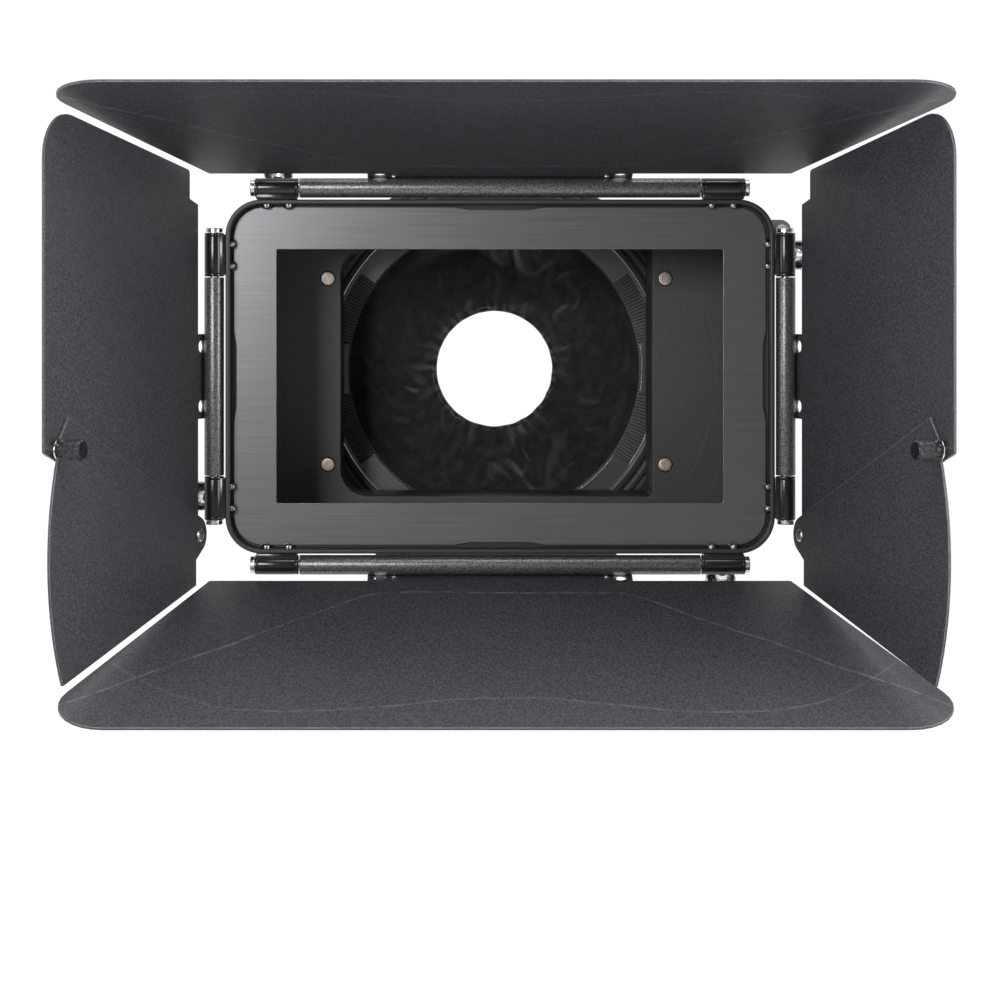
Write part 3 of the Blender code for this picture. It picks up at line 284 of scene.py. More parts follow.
def plate(name, outer, holes, low, high, edge, matrix=None):
    """Gives a flat plate in the local xy plane with through holes and eased edges."""
    bm = bmesh.new()
    for outline in [outer] + holes:
        verts = [bm.verts.new((x, y, low)) for x, y in outline]
        for i, vert in enumerate(verts):
            bm.edges.new((verts[i - 1], vert))
    bmesh.ops.triangle_fill(bm, use_beauty=True, edges=bm.edges[:], normal=(0, 0, 1))
    grown = bmesh.ops.extrude_face_region(bm, geom=bm.faces[:])
    moved = [v for v in grown["geom"] if isinstance(v, bmesh.types.BMVert)]
    bmesh.ops.translate(bm, verts=moved, vec=(0, 0, high - low))
    bmesh.ops.recalc_face_normals(bm, faces=bm.faces)
    soften(bm, edge)
    if matrix:
        bm.transform(matrix)
    return mesh_from(bm, name)


def soften(bm, width, segments=2):
    """Rounds the sharp edges of a closed mesh and marks the new faces in the 'edge' layer."""
    layer = bm.faces.layers.float.new("edge")
    bmesh.ops.dissolve_limit(bm, angle_limit=math.radians(1), verts=bm.verts, edges=bm.edges)
    bm.normal_update()
    sharp = [e for e in bm.edges if len(e.link_faces) == 2 and e.calc_face_angle() > math.radians(35)]
    made = bmesh.ops.bevel(
        bm, geom=sharp, offset=width, offset_type="OFFSET", segments=segments, profile=0.5,
        affect="EDGES", clamp_overlap=True)
    for face in made["faces"]:
        face[layer] = 1.0


def refined(node, name, width, segments=2):
    """Gives a copy of a CAD node's mesh, merged and with its sharp edges rounded."""
    bm = bmesh.new()
    bm.from_mesh(frame["nodes"][node].data)
    bmesh.ops.remove_doubles(bm, verts=bm.verts, dist=MERGE)
    bmesh.ops.recalc_face_normals(bm, faces=bm.faces)
    soften(bm, width, segments)
    return mesh_from(bm, name)


def block(name, low, high, edge, matrix=None):
    """Gives a box between two corners with eased edges."""
    bm = bmesh.new()
    bmesh.ops.create_cube(bm, size=1.0)
    bmesh.ops.scale(bm, vec=[b - a for a, b in zip(low, high)], verts=bm.verts)
    bmesh.ops.translate(bm, vec=[(a + b) / 2 for a, b in zip(low, high)], verts=bm.verts)
    soften(bm, edge)
    if matrix:
        bm.transform(matrix)
    return mesh_from(bm, name)


def together(name, meshes):
    """Joins several meshes into one."""
    bm = bmesh.new()
    for mesh in meshes:
        bm.from_mesh(mesh)
        bpy.data.meshes.remove(mesh)
    return mesh_from(bm, name, recalculate=False)


def piece(mesh, finish, body, *nodes, weighted=False):
    """Links a finished mesh as an object that rides on a body and stands for CAD nodes."""
    item = bpy.data.objects.new(mesh.name, mesh)
    bpy.context.scene.collection.objects.link(item)
    mesh.materials.clear()
    mesh.materials.append(finish_material(finish))
    if weighted:
        normals = item.modifiers.new("flat faces", "WEIGHTED_NORMAL")
        normals.keep_sharp = True
        item = applied(item)
    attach(item, body)
    if nodes:
        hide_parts(*nodes)
    return item


def applied(item):
    """Replaces an object by a plain mesh of what its modifiers make."""
    name, old = item.name, item.data
    shown = bpy.context.evaluated_depsgraph_get()
    mesh = bpy.data.meshes.new_from_object(item.evaluated_get(shown))
    bpy.data.objects.remove(item)
    if old.users == 0:
        bpy.data.meshes.remove(old)
    mesh.name = name
    made = bpy.data.objects.new(name, mesh)
    bpy.context.scene.collection.objects.link(made)
    return made


# Geometry Nodes ----------------------------------------------------------------------------------


class Tree:
    """A Geometry Nodes group with named inputs, written in short calls."""

    def __init__(self, name, inputs):
        self.group = bpy.data.node_groups.new(name, "GeometryNodeTree")
        for label, kind, default in inputs:
            socket = self.group.interface.new_socket(label, in_out="INPUT", socket_type=kind)
            if default is not None:
                socket.default_value = default
        self.group.interface.new_socket("Geometry", in_out="OUTPUT", socket_type="NodeSocketGeometry")
        self.start = self.group.nodes.new("NodeGroupInput")
        self.end = self.group.nodes.new("NodeGroupOutput")

    def given(self, label):
        """Gives one of the group's inputs."""
        return self.start.outputs[label]

    def node(self, kind, settings=None, **values):
        """Adds a node; settings come first, then values or links by input name."""
        made = self.group.nodes.new(kind)
        for key, value in (settings or {}).items():
            setattr(made, key, value)
        for key, value in values.items():
            self.set(made.inputs[key.replace("_", " ")], value)
        return made

    def set(self, socket, value):
        """Links an output to a socket, or sets its value."""
        if isinstance(value, bpy.types.NodeSocket):
            self.group.links.new(value, socket)
        else:
            socket.default_value = value

    def math(self, operation, one, two=0.0):
        """Adds a Math node and gives its output."""
        made = self.group.nodes.new("ShaderNodeMath")
        made.operation = operation
        self.set(made.inputs[0], one)
        self.set(made.inputs[1], two)
        return made.outputs[0]

    def close(self, geometry):
        """Ends the tree in Realize Instances and Set Material."""
        real = self.node("GeometryNodeRealizeInstances", Geometry=geometry)
        painted = self.node(
            "GeometryNodeSetMaterial", Geometry=real.outputs[0], Material=self.given("Material"))
        self.set(self.end.inputs[0], painted.outputs[0])
        return self.group


def grown(name, mesh, tree, values):
    """Runs a tree on a mesh and gives the result as a plain mesh."""
    item = bpy.data.objects.new(name, mesh)
    bpy.context.scene.collection.objects.link(item)
    nodes = item.modifiers.new("grown", "NODES")
    nodes.node_group = tree
    for socket in tree.interface.items_tree:
        if socket.item_type == "SOCKET" and socket.in_out == "INPUT" and socket.name in values:
            nodes[socket.identifier] = values[socket.name]
    made = applied(item)
    result = made.data
    bpy.data.objects.remove(made)
    result.name = name
    result.shade_smooth()
    result.set_sharp_from_angle(angle=math.radians(38))
    return result


def scatter_tree():
    """One element on each point, its z along 'facing' and its x along 'along'."""
    if "element on points" in bpy.data.node_groups:
        return bpy.data.node_groups["element on points"]
    tree = Tree("element on points", [
        ("Geometry", "NodeSocketGeometry", None),
        ("Element", "NodeSocketObject", None),
        ("Material", "NodeSocketMaterial", None),
    ])
    element = tree.node(
        "GeometryNodeObjectInfo", {"transform_space": "ORIGINAL"}, Object=tree.given("Element"),
        As_Instance=True)
    named = []
    for label in ("facing", "along"):
        named.append(tree.node("GeometryNodeInputNamedAttribute", {"data_type": "FLOAT_VECTOR"}, Name=label))
    facing = tree.node(
        "FunctionNodeAlignRotationToVector", {"axis": "Z"}, Vector=named[0].outputs["Attribute"])
    turned_to = tree.node(
        "FunctionNodeAlignRotationToVector", {"axis": "X", "pivot_axis": "Z"},
        Rotation=facing.outputs[0], Vector=named[1].outputs["Attribute"])
    placed = tree.node(
        "GeometryNodeInstanceOnPoints", Points=tree.given("Geometry"),
        Instance=element.outputs["Geometry"], Rotation=turned_to.outputs[0])
    return tree.close(placed.outputs[0])


def scattered(name, element, places, finish):
    """Repeats an element mesh at (point, facing, along) places and gives one plain mesh."""
    points = bpy.data.meshes.new(name + "_points")
    points.from_pydata([p for p, _, _ in places], [], [])
    for label, column in (("facing", 1), ("along", 2)):
        layer = points.attributes.new(label, "FLOAT_VECTOR", "POINT")
        layer.data.foreach_set("vector", [c for place in places for c in place[column]])
    holder = bpy.data.objects.new(name + "_element", element)
    made = grown(name, points, scatter_tree(), {"Element": holder, "Material": finish_material(finish)})
    bpy.data.objects.remove(holder)
    bpy.data.meshes.remove(element)
    return made


def knurl_tree():
    """A closed round head whose side carries ridges: crossed where Lean is above zero."""
    if "knurled head" in bpy.data.node_groups:
        return bpy.data.node_groups["knurled head"]
    tree = Tree("knurled head", [
        ("Radius", "NodeSocketFloat", 0.005), ("Height", "NodeSocketFloat", 0.005),
        ("Depth", "NodeSocketFloat", 0.0003), ("Chamfer", "NodeSocketFloat", 0.0004),
        ("Lean", "NodeSocketFloat", 0.0), ("Teeth", "NodeSocketInt", 32),
        ("Rows", "NodeSocketInt", 16), ("Material", "NodeSocketMaterial", None),
    ])
    given, math_node = tree.given, tree.math
    around = math_node("ADD", math_node("MULTIPLY", given("Teeth"), 6.0), 1.0)
    up = math_node("ADD", given("Rows"), 1.0)
    grid = tree.node("GeometryNodeMeshGrid", Size_X=1.0, Size_Y=1.0, Vertices_X=around, Vertices_Y=up)
    place = tree.node("ShaderNodeSeparateXYZ", Vector=tree.node("GeometryNodeInputPosition").outputs[0])
    turn = math_node("MULTIPLY", place.outputs[0], 2 * math.pi)
    row = math_node("MULTIPLY", math_node("ADD", place.outputs[1], 0.5), given("Rows"))
    last = math_node("SUBTRACT", given("Rows"), 1.0)
    inner = math_node("MINIMUM", math_node("MAXIMUM", row, 1.0), last)
    share = math_node("DIVIDE", math_node("SUBTRACT", inner, 1.0), math_node("SUBTRACT", last, 1.0))
    height = math_node("MULTIPLY", share, given("Height"))
    phase = math_node("MULTIPLY", turn, math_node("DIVIDE", given("Teeth"), 2.0))
    lean = math_node("MULTIPLY", height, given("Lean"))
    one = math_node("ABSOLUTE", math_node("SINE", math_node("ADD", phase, lean)))
    two = math_node("ABSOLUTE", math_node("SINE", math_node("SUBTRACT", phase, lean)))
    ridge = math_node("MULTIPLY", one, two)
    to_end = math_node("MULTIPLY", math_node("MINIMUM", share, math_node("SUBTRACT", 1.0, share)), given("Height"))
    fade = math_node("MINIMUM", math_node("DIVIDE", to_end, given("Chamfer")), 1.0)
    lost = math_node("ADD", math_node("MULTIPLY", math_node("SUBTRACT", 1.0, ridge), given("Depth")),
                     math_node("MULTIPLY", math_node("SUBTRACT", 1.0, fade), given("Chamfer")))
    radius = math_node("SUBTRACT", given("Radius"), lost)
    inside = math_node("LESS_THAN", math_node("ABSOLUTE", math_node("SUBTRACT", row, inner)), 0.5)
    radius = math_node("MULTIPLY", radius, inside)
    point = tree.node(
        "ShaderNodeCombineXYZ", X=math_node("MULTIPLY", radius, math_node("COSINE", turn)),
        Y=math_node("MULTIPLY", radius, math_node("SINE", turn)), Z=height)
    shaped = tree.node("GeometryNodeSetPosition", Geometry=grid.outputs["Mesh"], Position=point.outputs[0])
    closed = tree.node("GeometryNodeMergeByDistance", Geometry=shaped.outputs[0], Distance=MERGE)
    return tree.close(closed.outputs[0])


def knurled(name, finish, matrix, **values):
    """Gives a knurled head with its foot at the matrix's origin and its axis along local z."""
    values = {key.capitalize(): value for key, value in values.items()}
    values["Material"] = finish_material(finish)
    mesh = grown(name, bpy.data.meshes.new(name + "_seed"), knurl_tree(), values)
    bm = bmesh.new()
    bm.from_mesh(mesh)
    bpy.data.meshes.remove(mesh)
    bm.transform(matrix)
    return mesh_from(bm, name)


# Finishes ----------------------------------------------------------------------------------------


class Value:
    """A shader socket; Python's operators on it add Math nodes."""

    def __init__(self, finish, socket):
        self.finish = finish
        self.socket = socket

    def _with(self, operation, one, two):
        return self.finish.node("ShaderNodeMath", {"operation": operation}, {0: one, 1: two})

    def __add__(self, other):
        return self._with("ADD", self, other)

    def __sub__(self, other):
        return self._with("SUBTRACT", self, other)

    def __rsub__(self, other):
        return self._with("SUBTRACT", other, self)

    def __mul__(self, other):
        return self._with("MULTIPLY", self, other)

    def __truediv__(self, other):
        return self._with("DIVIDE", self, other)

    def __pow__(self, other):
        return self._with("POWER", self, other)

    __radd__ = __add__
    __rmul__ = __mul__

    def wave(self, operation="SINE"):
        """Gives the sine or another function of the value."""
        return self._with(operation, self, 0.0)


class Finish:
    """One node material round a Principled shader."""

    def __init__(self, name, **fixed):
        self.material = bpy.data.materials.new(name)
        self.material.use_nodes = True
        self.nodes = self.material.node_tree.nodes
        self.links = self.material.node_tree.links
        self.shader = self.nodes["Principled BSDF"]
        for key, value in fixed.items():
            self.shader.inputs[key.replace("_", " ")].default_value = value

    def node(self, kind, settings, values, output=0):
        """Adds a node: its type, its settings, then values or links by socket."""
        made = self.nodes.new(kind)
        for key, value in settings.items():
            if key == "stops":
                self.stops(made.color_ramp, value)
            else:
                setattr(made, key, value)
        for key, value in values.items():
            if isinstance(value, Value):
                self.links.new(value.socket, made.inputs[key])
            else:
                made.inputs[key].default_value = value
        return Value(self, made.outputs[output])

    def stops(self, ramp, stops):
        """Sets a ramp's stops from (place, grey or colour) pairs."""
        while len(ramp.elements) < len(stops):
            ramp.elements.new(1.0)
        for element, (place, shade) in zip(ramp.elements, stops):
            element.position = place
            colour = (shade,) * 3 if isinstance(shade, float) else shade
            element.color = (*colour, 1.0)

    def place(self, scale=(1.0, 1.0, 1.0)):
        """Gives the object coordinates, scaled."""
        where = self.node("ShaderNodeTexCoord", {}, {}, 3)
        return self.node("ShaderNodeMapping", {}, {"Vector": where, "Scale": scale})

    def grain(self, scale, detail=2.0, stretch=(1.0, 1.0, 1.0), roughness=0.5):
        """Gives noise from 0 to 1 on the object coordinates, with this many cells to a metre."""
        return self.node("ShaderNodeTexNoise", {}, {
            "Vector": self.place(stretch), "Scale": scale, "Detail": detail, "Roughness": roughness})

    def ramp(self, value, *stops):
        """Runs a value through a ramp of greys or colours."""
        return self.node("ShaderNodeValToRGB", {"stops": stops}, {0: value})

    def mix(self, factor, one, two):
        """Mixes two colours."""
        made = self.nodes.new("ShaderNodeMix")
        made.data_type = "RGBA"
        for index, value in ((0, factor), (6, one), (7, two)):
            if isinstance(value, Value):
                self.links.new(value.socket, made.inputs[index])
            elif index:
                made.inputs[index].default_value = (*value, 1.0)
            else:
                made.inputs[index].default_value = value
        return Value(self, made.outputs[2])

    def attribute(self, name):
        """Gives a number stored on the mesh."""
        return self.node("ShaderNodeAttribute", {"attribute_name": name}, {}, 2)

    def bump(self, height, distance, strength=1.0, under=None):
        """Gives a bumped normal, on top of another one if given."""
        values = {"Height": height, "Distance": distance, "Strength": strength}
        if under:
            values["Normal"] = under
        return self.node("ShaderNodeBump", {}, values)

    def set(self, **values):
        """Links values to the shader's sockets."""
        for key, value in values.items():
            self.links.new(value.socket, self.shader.inputs[key.replace("_", " ")])
        return self.material


def scaled(colour, share):
    """Gives a colour made lighter or darker."""
    return tuple(min(1.0, c * share) for c in colour)


def anodised(name, colour, roughness, metallic, grain_scale, stretch, strength, patches=1.0):
    """Anodised metal with faint grain along its brushing and pale rubbed edges."""
    finish = Finish(name, Metallic=metallic, Specular_IOR_Level=0.5)
    lines = finish.grain(grain_scale, 3.0, stretch)
    cloud = finish.grain(14.0, 1.0)
    worn = finish.attribute("edge") * finish.ramp(finish.grain(90.0, 4.0), (0.35, 0.15), (0.7, 1.0))
    body = finish.mix(finish.ramp(lines, (0.3, 0.0), (0.7, 1.0)), scaled(colour, 0.92), scaled(colour, 1.08))
    body = finish.mix(finish.ramp(cloud, (0.35, 0.0), (0.7, 0.25 * patches)), body, scaled(colour, 1.2))
    body = finish.mix(worn * 0.55, body, scaled(colour, 3.2))
    return finish.set(
        Base_Color=body,
        Roughness=roughness + (lines - 0.5) * 0.10 + (cloud - 0.5) * 0.08 * patches,
        Normal=finish.bump(lines, 0.00002, strength))


def rim_black(colours):
    """Satin black anodising of the housings, trays and rings."""
    return anodised("satin_black", colours.rim, 0.42, 0.35, 900.0, (1.0, 1.0, 1.0), 0.35)


def mask_grey(colours):
    """Dark grey plate, brushed from side to side."""
    return anodised("brushed_grey", colours.mask, 0.32, 0.90, 420.0, (0.05, 1.0, 4.0), 0.06, 0.3)


def stage_black(colours):
    """Matt black of the stage and the rod bracket, with faint paler arcs round the optical axis."""
    finish = Finish("matt_black", Metallic=0.15)
    fine = finish.grain(1400.0, 2.0)
    cloud = finish.grain(22.0, 4.0)
    where = finish.node("ShaderNodeTexCoord", {}, {}, 3)
    apart = finish.node("ShaderNodeSeparateXYZ", {}, {0: where})
    high = finish.node("ShaderNodeSeparateXYZ", {}, {0: where}, 2)
    radius = (apart * apart + high * high) ** 0.5
    arcs = finish.node("ShaderNodeTexNoise", {"noise_dimensions": "1D"}, {"W": radius, "Scale": 700.0, "Detail": 2.0})
    # marks: faint paler arcs round the optical axis, broken up by the cloud noise
    marks = finish.ramp(arcs, (0.62, 0.0), (0.72, 1.0)) * finish.ramp(cloud, (0.45, 0.0), (0.65, 1.0))
    worn = finish.attribute("edge") * finish.ramp(finish.grain(110.0, 3.0), (0.4, 0.1), (0.7, 1.0))
    body = finish.mix(finish.ramp(fine, (0.35, 0.0), (0.65, 1.0)), scaled(colours.stage, 0.85), scaled(colours.stage, 1.2))
    body = finish.mix(marks * 0.22, body, scaled(colours.stage, 2.6))
    body = finish.mix(worn * 0.45, body, scaled(colours.stage, 4.0))
    return finish.set(
        Base_Color=body, Roughness=0.52 + (cloud - 0.5) * 0.18 - marks * 0.08,
        Normal=finish.bump(fine, 0.00002, 0.35))


def line_at(finish, away, width):
    """Gives 1 on a line and 0 farther from it than its width."""
    return finish.ramp((away * away) ** 0.5 * (1.0 / width), (0.25, 1.0), (1.0, 0.0))


def pale_curves(finish):
    """Pale curved lines on the inner faces, broken up by noise."""
    flat = finish.node("ShaderNodeUVMap", {"uv_map": "flat"}, {})
    side = finish.node("ShaderNodeSeparateXYZ", {}, {0: flat})
    reach = finish.node("ShaderNodeSeparateXYZ", {}, {0: flat}, 1)
    side = (side * side) ** 0.5
    drift = (finish.grain(26.0, 2.0) - 0.5) * 0.006
    slant = finish.node("ShaderNodeMath", {"operation": "SMOOTH_MAX"}, {0: side * 0.82 - 0.0455, 1: 0.0, 2: 0.012})
    inner = line_at(finish, reach - 0.0180 - slant + drift, 0.0012)
    arch = 0.1114 + side * side * 4.84 - side * side * side * 37.0
    outer = line_at(finish, reach - arch + drift, 0.0009)
    broken = finish.ramp(finish.grain(240.0, 4.0), (0.38, 0.15), (0.62, 1.0))
    return (inner + outer * 0.7) * broken


def powder_coat(colours):
    """Charcoal powder coat: fine hard grain, pale edges that are partly rubbed wear and partly a painted edge
    highlight, and pale curved lines.
    """
    finish = Finish("powder_coat", Metallic=0.0, Specular_IOR_Level=0.55, Coat_Roughness=0.4)
    fine = finish.grain(1250.0, 2.0)
    coarse = finish.grain(620.0, 2.0)
    cloud = finish.grain(9.0, 1.0)
    speck = finish.ramp(fine, (0.40, 0.0), (0.62, 1.0))
    glint = finish.ramp(finish.grain(3100.0, 1.0), (0.62, 0.0), (0.70, 1.0))
    # worn: pale edges, partly rubbed wear and partly a painted highlight where the sheet edges catch the light
    worn = finish.attribute("edge") * finish.ramp(finish.grain(160.0, 4.0), (0.30, 0.35), (0.65, 1.0))
    body = finish.mix(speck, scaled(colours.powder, 0.35), scaled(colours.powder, 1.80))
    body = finish.mix(glint * 0.35, body, scaled(colours.powder, 3.4))
    body = finish.mix(finish.ramp(cloud, (0.3, 0.0), (0.75, 0.12)), body, scaled(colours.powder, 1.4))
    # pale curved lines on the flags' inner faces, in the base colour
    body = finish.mix(pale_curves(finish) * 0.42, body, scaled(colours.powder, 6.0))
    # Painted here: the pale edges, partly wear and partly a painted edge highlight.
    body = finish.mix(worn * 0.5, body, scaled(colours.powder, 9.0))
    grain = fine * 0.6 + coarse * 0.4
    return finish.set(
        Base_Color=body, Roughness=0.56 + (cloud - 0.5) * 0.10 - glint * 0.15,
        Normal=finish.bump(grain, 0.00005, 0.30))


def tube_black(colours):
    """Black crinkle coat of the hinge tubes: bead tops carry a painted highlight, and the beads shine brightest along
    the highlight.
    """
    finish = Finish("crinkle_black", Metallic=0.55, Coat_Weight=0.0)
    bead = finish.node("ShaderNodeTexVoronoi", {"feature": "SMOOTH_F1"}, {
        "Vector": finish.place(), "Scale": 1500.0, "Smoothness": 0.6})
    fine = finish.grain(2600.0, 2.0)
    worn = finish.attribute("edge")
    # Bead tops painted up to twice as bright: a painted highlight on the raised beads.
    body = finish.mix(finish.ramp(bead, (0.2, 1.0), (0.7, 0.0)), scaled(colours.tube, 0.7), scaled(colours.tube, 2.0))
    body = finish.mix(worn * 0.4, body, scaled(colours.tube, 4.0))
    return finish.set(
        Base_Color=body, Roughness=0.27 + fine * 0.10,
        Normal=finish.bump(bead * -1.0 + fine * 0.3, 0.00007, 0.6))


def gloss_black(colours):
    """Polished black of the barrels, with faint turning lines and light scuffs."""
    finish = Finish("polished_black", Metallic=0.55, Specular_IOR_Level=0.6)
    scuff = finish.grain(300.0, 5.0, roughness=0.7)
    fine = finish.grain(1500.0, 2.0)
    body = finish.mix(finish.ramp(scuff, (0.55, 0.0), (0.75, 1.0)), colours.gloss, scaled(colours.gloss, 1.9))
    body = finish.mix(finish.attribute("edge") * 0.4, body, scaled(colours.gloss, 6.0))
    return finish.set(
        Base_Color=body, Roughness=0.16 + finish.ramp(scuff, (0.4, 0.0), (0.8, 1.0)) * 0.12,
        Normal=finish.bump(fine, 0.000008, 0.4))


def turned_steel(name, colour, roughness):
    """Bright turned steel with fine rings, darker in its scratches."""
    finish = Finish(name, Metallic=1.0)
    fine = finish.grain(2400.0, 3.0)
    stain = finish.grain(420.0, 4.0)
    body = finish.mix(finish.ramp(stain, (0.35, 0.0), (0.7, 1.0)), scaled(colour, 0.72), scaled(colour, 1.08))
    body = finish.mix(finish.ramp(fine, (0.55, 0.0), (0.8, 0.5)), body, scaled(colour, 0.45))
    return finish.set(
        Base_Color=body, Roughness=roughness + (stain - 0.5) * 0.18 + fine * 0.06,
        Normal=finish.bump(fine, 0.00001, 0.5))


def bright_steel(colours):
    """Screws, bolts, nuts and lock knobs."""
    return turned_steel("bright_steel", colours.steel, 0.24)


def warm_steel(colours):
    """The stage's four screws, slightly coppery."""
    return turned_steel("warm_steel", colours.warm, 0.34)


def dark_steel(colours):
    """Blackened button screws inside the rim."""
    return turned_steel("dark_steel", scaled(colours.steel, 0.42), 0.22)


def knob_black(colours):
    """Blackened knurled knobs, rubbed bright on their ridges."""
    finish = Finish("knurl_black", Metallic=0.75)
    fine = finish.grain(1800.0, 2.0)
    rub = finish.ramp(finish.grain(700.0, 3.0), (0.55, 0.0), (0.75, 1.0))
    body = finish.mix(fine, scaled(colours.knob, 0.8), scaled(colours.knob, 1.5))
    body = finish.mix(rub * 0.35, body, (0.20, 0.20, 0.20))
    return finish.set(Base_Color=body, Roughness=0.30 + fine * 0.12, Normal=finish.bump(fine, 0.00001, 0.4))


def elastic_weave(colours):
    """Ribbed elastic: dark yarn with pale flecks that are a painted sparkle."""
    finish = Finish("elastic_weave", Sheen_Weight=0.35, Sheen_Roughness=0.4)
    yarn = finish.grain(5200.0, 2.0)
    # pale: flecks painted as the sparkle of the weave, a painted highlight
    pale = finish.ramp(finish.grain(2400.0, 2.0), (0.50, 0.0), (0.66, 1.0))
    body = finish.mix(finish.attribute("edge"), scaled(colours.elastic, 0.12), scaled(colours.elastic, 2.2))
    body = finish.mix(yarn * 0.5, body, scaled(colours.elastic, 0.6))
    body = finish.mix(pale * 0.55, body, (0.13, 0.13, 0.13))
    return finish.set(Base_Color=body, Roughness=0.72 + yarn * 0.2, Normal=finish.bump(yarn, 0.00008, 0.7))


def cuff_cloth(colours):
    """Soft black cloth with a short nap that catches the light on its folds."""
    finish = Finish("cuff_cloth", Sheen_Weight=0.55, Sheen_Roughness=0.45, Specular_IOR_Level=0.3)
    nap = finish.grain(3600.0, 3.0, roughness=0.6)
    crush = finish.grain(160.0, 4.0, roughness=0.65)
    body = finish.mix(finish.ramp(crush, (0.35, 0.0), (0.7, 1.0)), scaled(colours.cloth, 0.6), scaled(colours.cloth, 2.3))
    body = finish.mix(nap, scaled(colours.cloth, 0.5), body)
    under = finish.bump(crush, 0.0006, 0.5)
    return finish.set(Base_Color=body, Roughness=0.80 + nap * 0.15, Normal=finish.bump(nap, 0.00012, 0.6, under))


FINISHES = {
    "rim_black": rim_black, "mask_grey": mask_grey, "stage_black": stage_black, "powder_coat": powder_coat,
    "tube_black": tube_black, "gloss_black": gloss_black, "bright_steel": bright_steel,
    "warm_steel": warm_steel, "dark_steel": dark_steel, "knob_black": knob_black,
    "elastic_weave": elastic_weave, "cuff_cloth": cuff_cloth,
}
SLOTS = {name: name for name in FINISHES}
SLOTS["warm_steel"] = "bright_steel"
SLOTS["dark_steel"] = "bright_steel"
MADE = {}


def finish_material(name):
    """Gives a finish's material, made the first time it is asked for."""
    if name not in MADE:
        MADE[name] = FINISHES[name](bpy.context.scene.matte_box_colours)
    return MADE[name]


# Frames read from the CAD ------------------------------------------------------------------------


@functools.cache
def depths(node):
    """Gives a node's front and rear depth behind the rim's front edge."""
    low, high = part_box(node)
    return low.y - FRONT, high.y - FRONT


def middle(node):
    """Gives the middle of a node's box."""
    low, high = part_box(node)
    return (low + high) / 2


def axes_matrix(origin, along_x, along_y, along_z):
    """Gives the matrix of a frame from its origin and its three directions."""
    matrix = Matrix((along_x, along_y, along_z)).transposed().to_4x4()
    matrix.translation = origin
    return matrix


def sheet_normal(node):
    """Gives the outward normal of a flat node: the side that most of its faces lie on."""
    total = Vector()
    for face in frame["nodes"][node].data.polygons:
        normal = face.normal
        away = Vector((face.center.x, 0, face.center.z))
        if normal.dot(away) > 0:
            total += normal * face.area
    return total.normalized()


def flag_frame(side):
    """Hinge frame of a flag: x along the hinge, y out over the flag, z its outward normal."""
    joint = JOINTS[f"{side}_flag_hinge"]
    up = sheet_normal(f"flag_{side}")
    along = Vector(joint["axis"]).normalized()
    out = up.cross(along)
    if out.y > 0:
        along, out = -along, -out
    return axes_matrix(Vector(joint["pos_m"]), along, out, along.cross(out).normalized())


def rim_frame(side):
    """Hinge frame of the rim: the flag's frame before its tilt, with y straight forward."""
    joint = JOINTS[f"{side}_flag_hinge"]
    turned_frame = flag_frame(side)
    along = turned_frame.col[0].to_3d()
    forward = Vector((0, -1, 0))
    return axes_matrix(Vector(joint["pos_m"]), along, forward, along.cross(forward))


def half_tube(side):
    """Gives half the length of a side's hinge tube."""
    low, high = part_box(f"hinge_tube_{side}")
    return (high - low)[0 if side in ("top", "bottom") else 2] / 2


ALONG_X = Matrix.Rotation(math.pi / 2, 4, "Y")


def barrel_span(side, sign):
    """Gives the two ends of a barrel along its hinge."""
    node = f"hinge_barrel_{side}_{SIDE_ENDS[side][0 if sign < 0 else 1]}"
    inverse = rim_frame(side).inverted()
    places = [(inverse @ corner).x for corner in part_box(node)]
    return min(places), max(places), node


# Pieces ------------------------------------------------------------------------------------------


def front_housing(sizes):
    """The box-shaped front housing: round lip, mask ledge and rear flange."""
    low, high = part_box("hood_shell")
    width, height, deep = high.x - low.x, high.z - low.z, high.y - low.y
    inner_w, inner_h = width - 2 * sizes.wall, height - 2 * sizes.wall
    inner_r = sizes.corner - sizes.wall
    ledge_w, ledge_h = inner_w - 2 * sizes.ledge, inner_h - 2 * sizes.ledge
    open_w, open_h = width - 2 * sizes.flange, height - 2 * sizes.flange
    flange = deep - sizes.flange_thick
    under = sizes.ledge_depth + sizes.ledge_thick
    lip, soft = sizes.lip, sizes.edge
    profile = [
        (0, 0, lip), (0, deep, soft), (sizes.flange, deep, soft), (sizes.flange, flange, soft),
        (sizes.wall, flange, soft), (sizes.wall, under, soft), (sizes.wall + sizes.ledge, under, soft),
        (sizes.wall + sizes.ledge, sizes.ledge_depth, soft), (sizes.wall, sizes.ledge_depth, soft),
        (sizes.wall, 0, lip),
    ]
    rings = []
    for inset, depth in filleted(profile, 3):
        radius = max(sizes.corner - inset, sizes.corner / 3)
        outline = rounded_box(width - 2 * inset, height - 2 * inset, radius, 16)
        rings.append([(x, y, depth) for x, y in outline])
    return loft("front_housing", rings, closed=True, matrix=STACK)


def round_housing(sizes):
    """The round housing behind the stage, with turned grooves in its front lip."""
    front, rear = depths("rear_housing")
    outer = (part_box("rear_housing")[1].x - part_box("rear_housing")[0].x) / 2
    bore = port_radius() + 0.0003
    lip, groove = sizes.lip_radius, sizes.groove
    profile = [(outer - 0.001, front), (outer, front + 0.001)]
    for share in (0.35, 0.5, 0.65):
        at = front + (rear - front) * share
        profile += [(outer, at - groove), (outer - groove, at), (outer, at + groove)]
    profile += [(outer, rear - 0.001), (outer - 0.001, rear), (bore, rear)]
    profile += [(bore, front + sizes.lip_thick), (lip, front + sizes.lip_thick), (lip, front)]
    for share in (0.3, 0.6):
        at = lip + (outer - lip) * share
        profile += [(at - groove, front), (at, front + groove), (at + groove, front)]
    return turned("round_housing", profile, 192, STACK, ease=0.00015, steps=2)


def port_radius():
    """Gives the outer radius of the lens port ring."""
    low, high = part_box("lens_port_ring")
    return (high.x - low.x) / 2


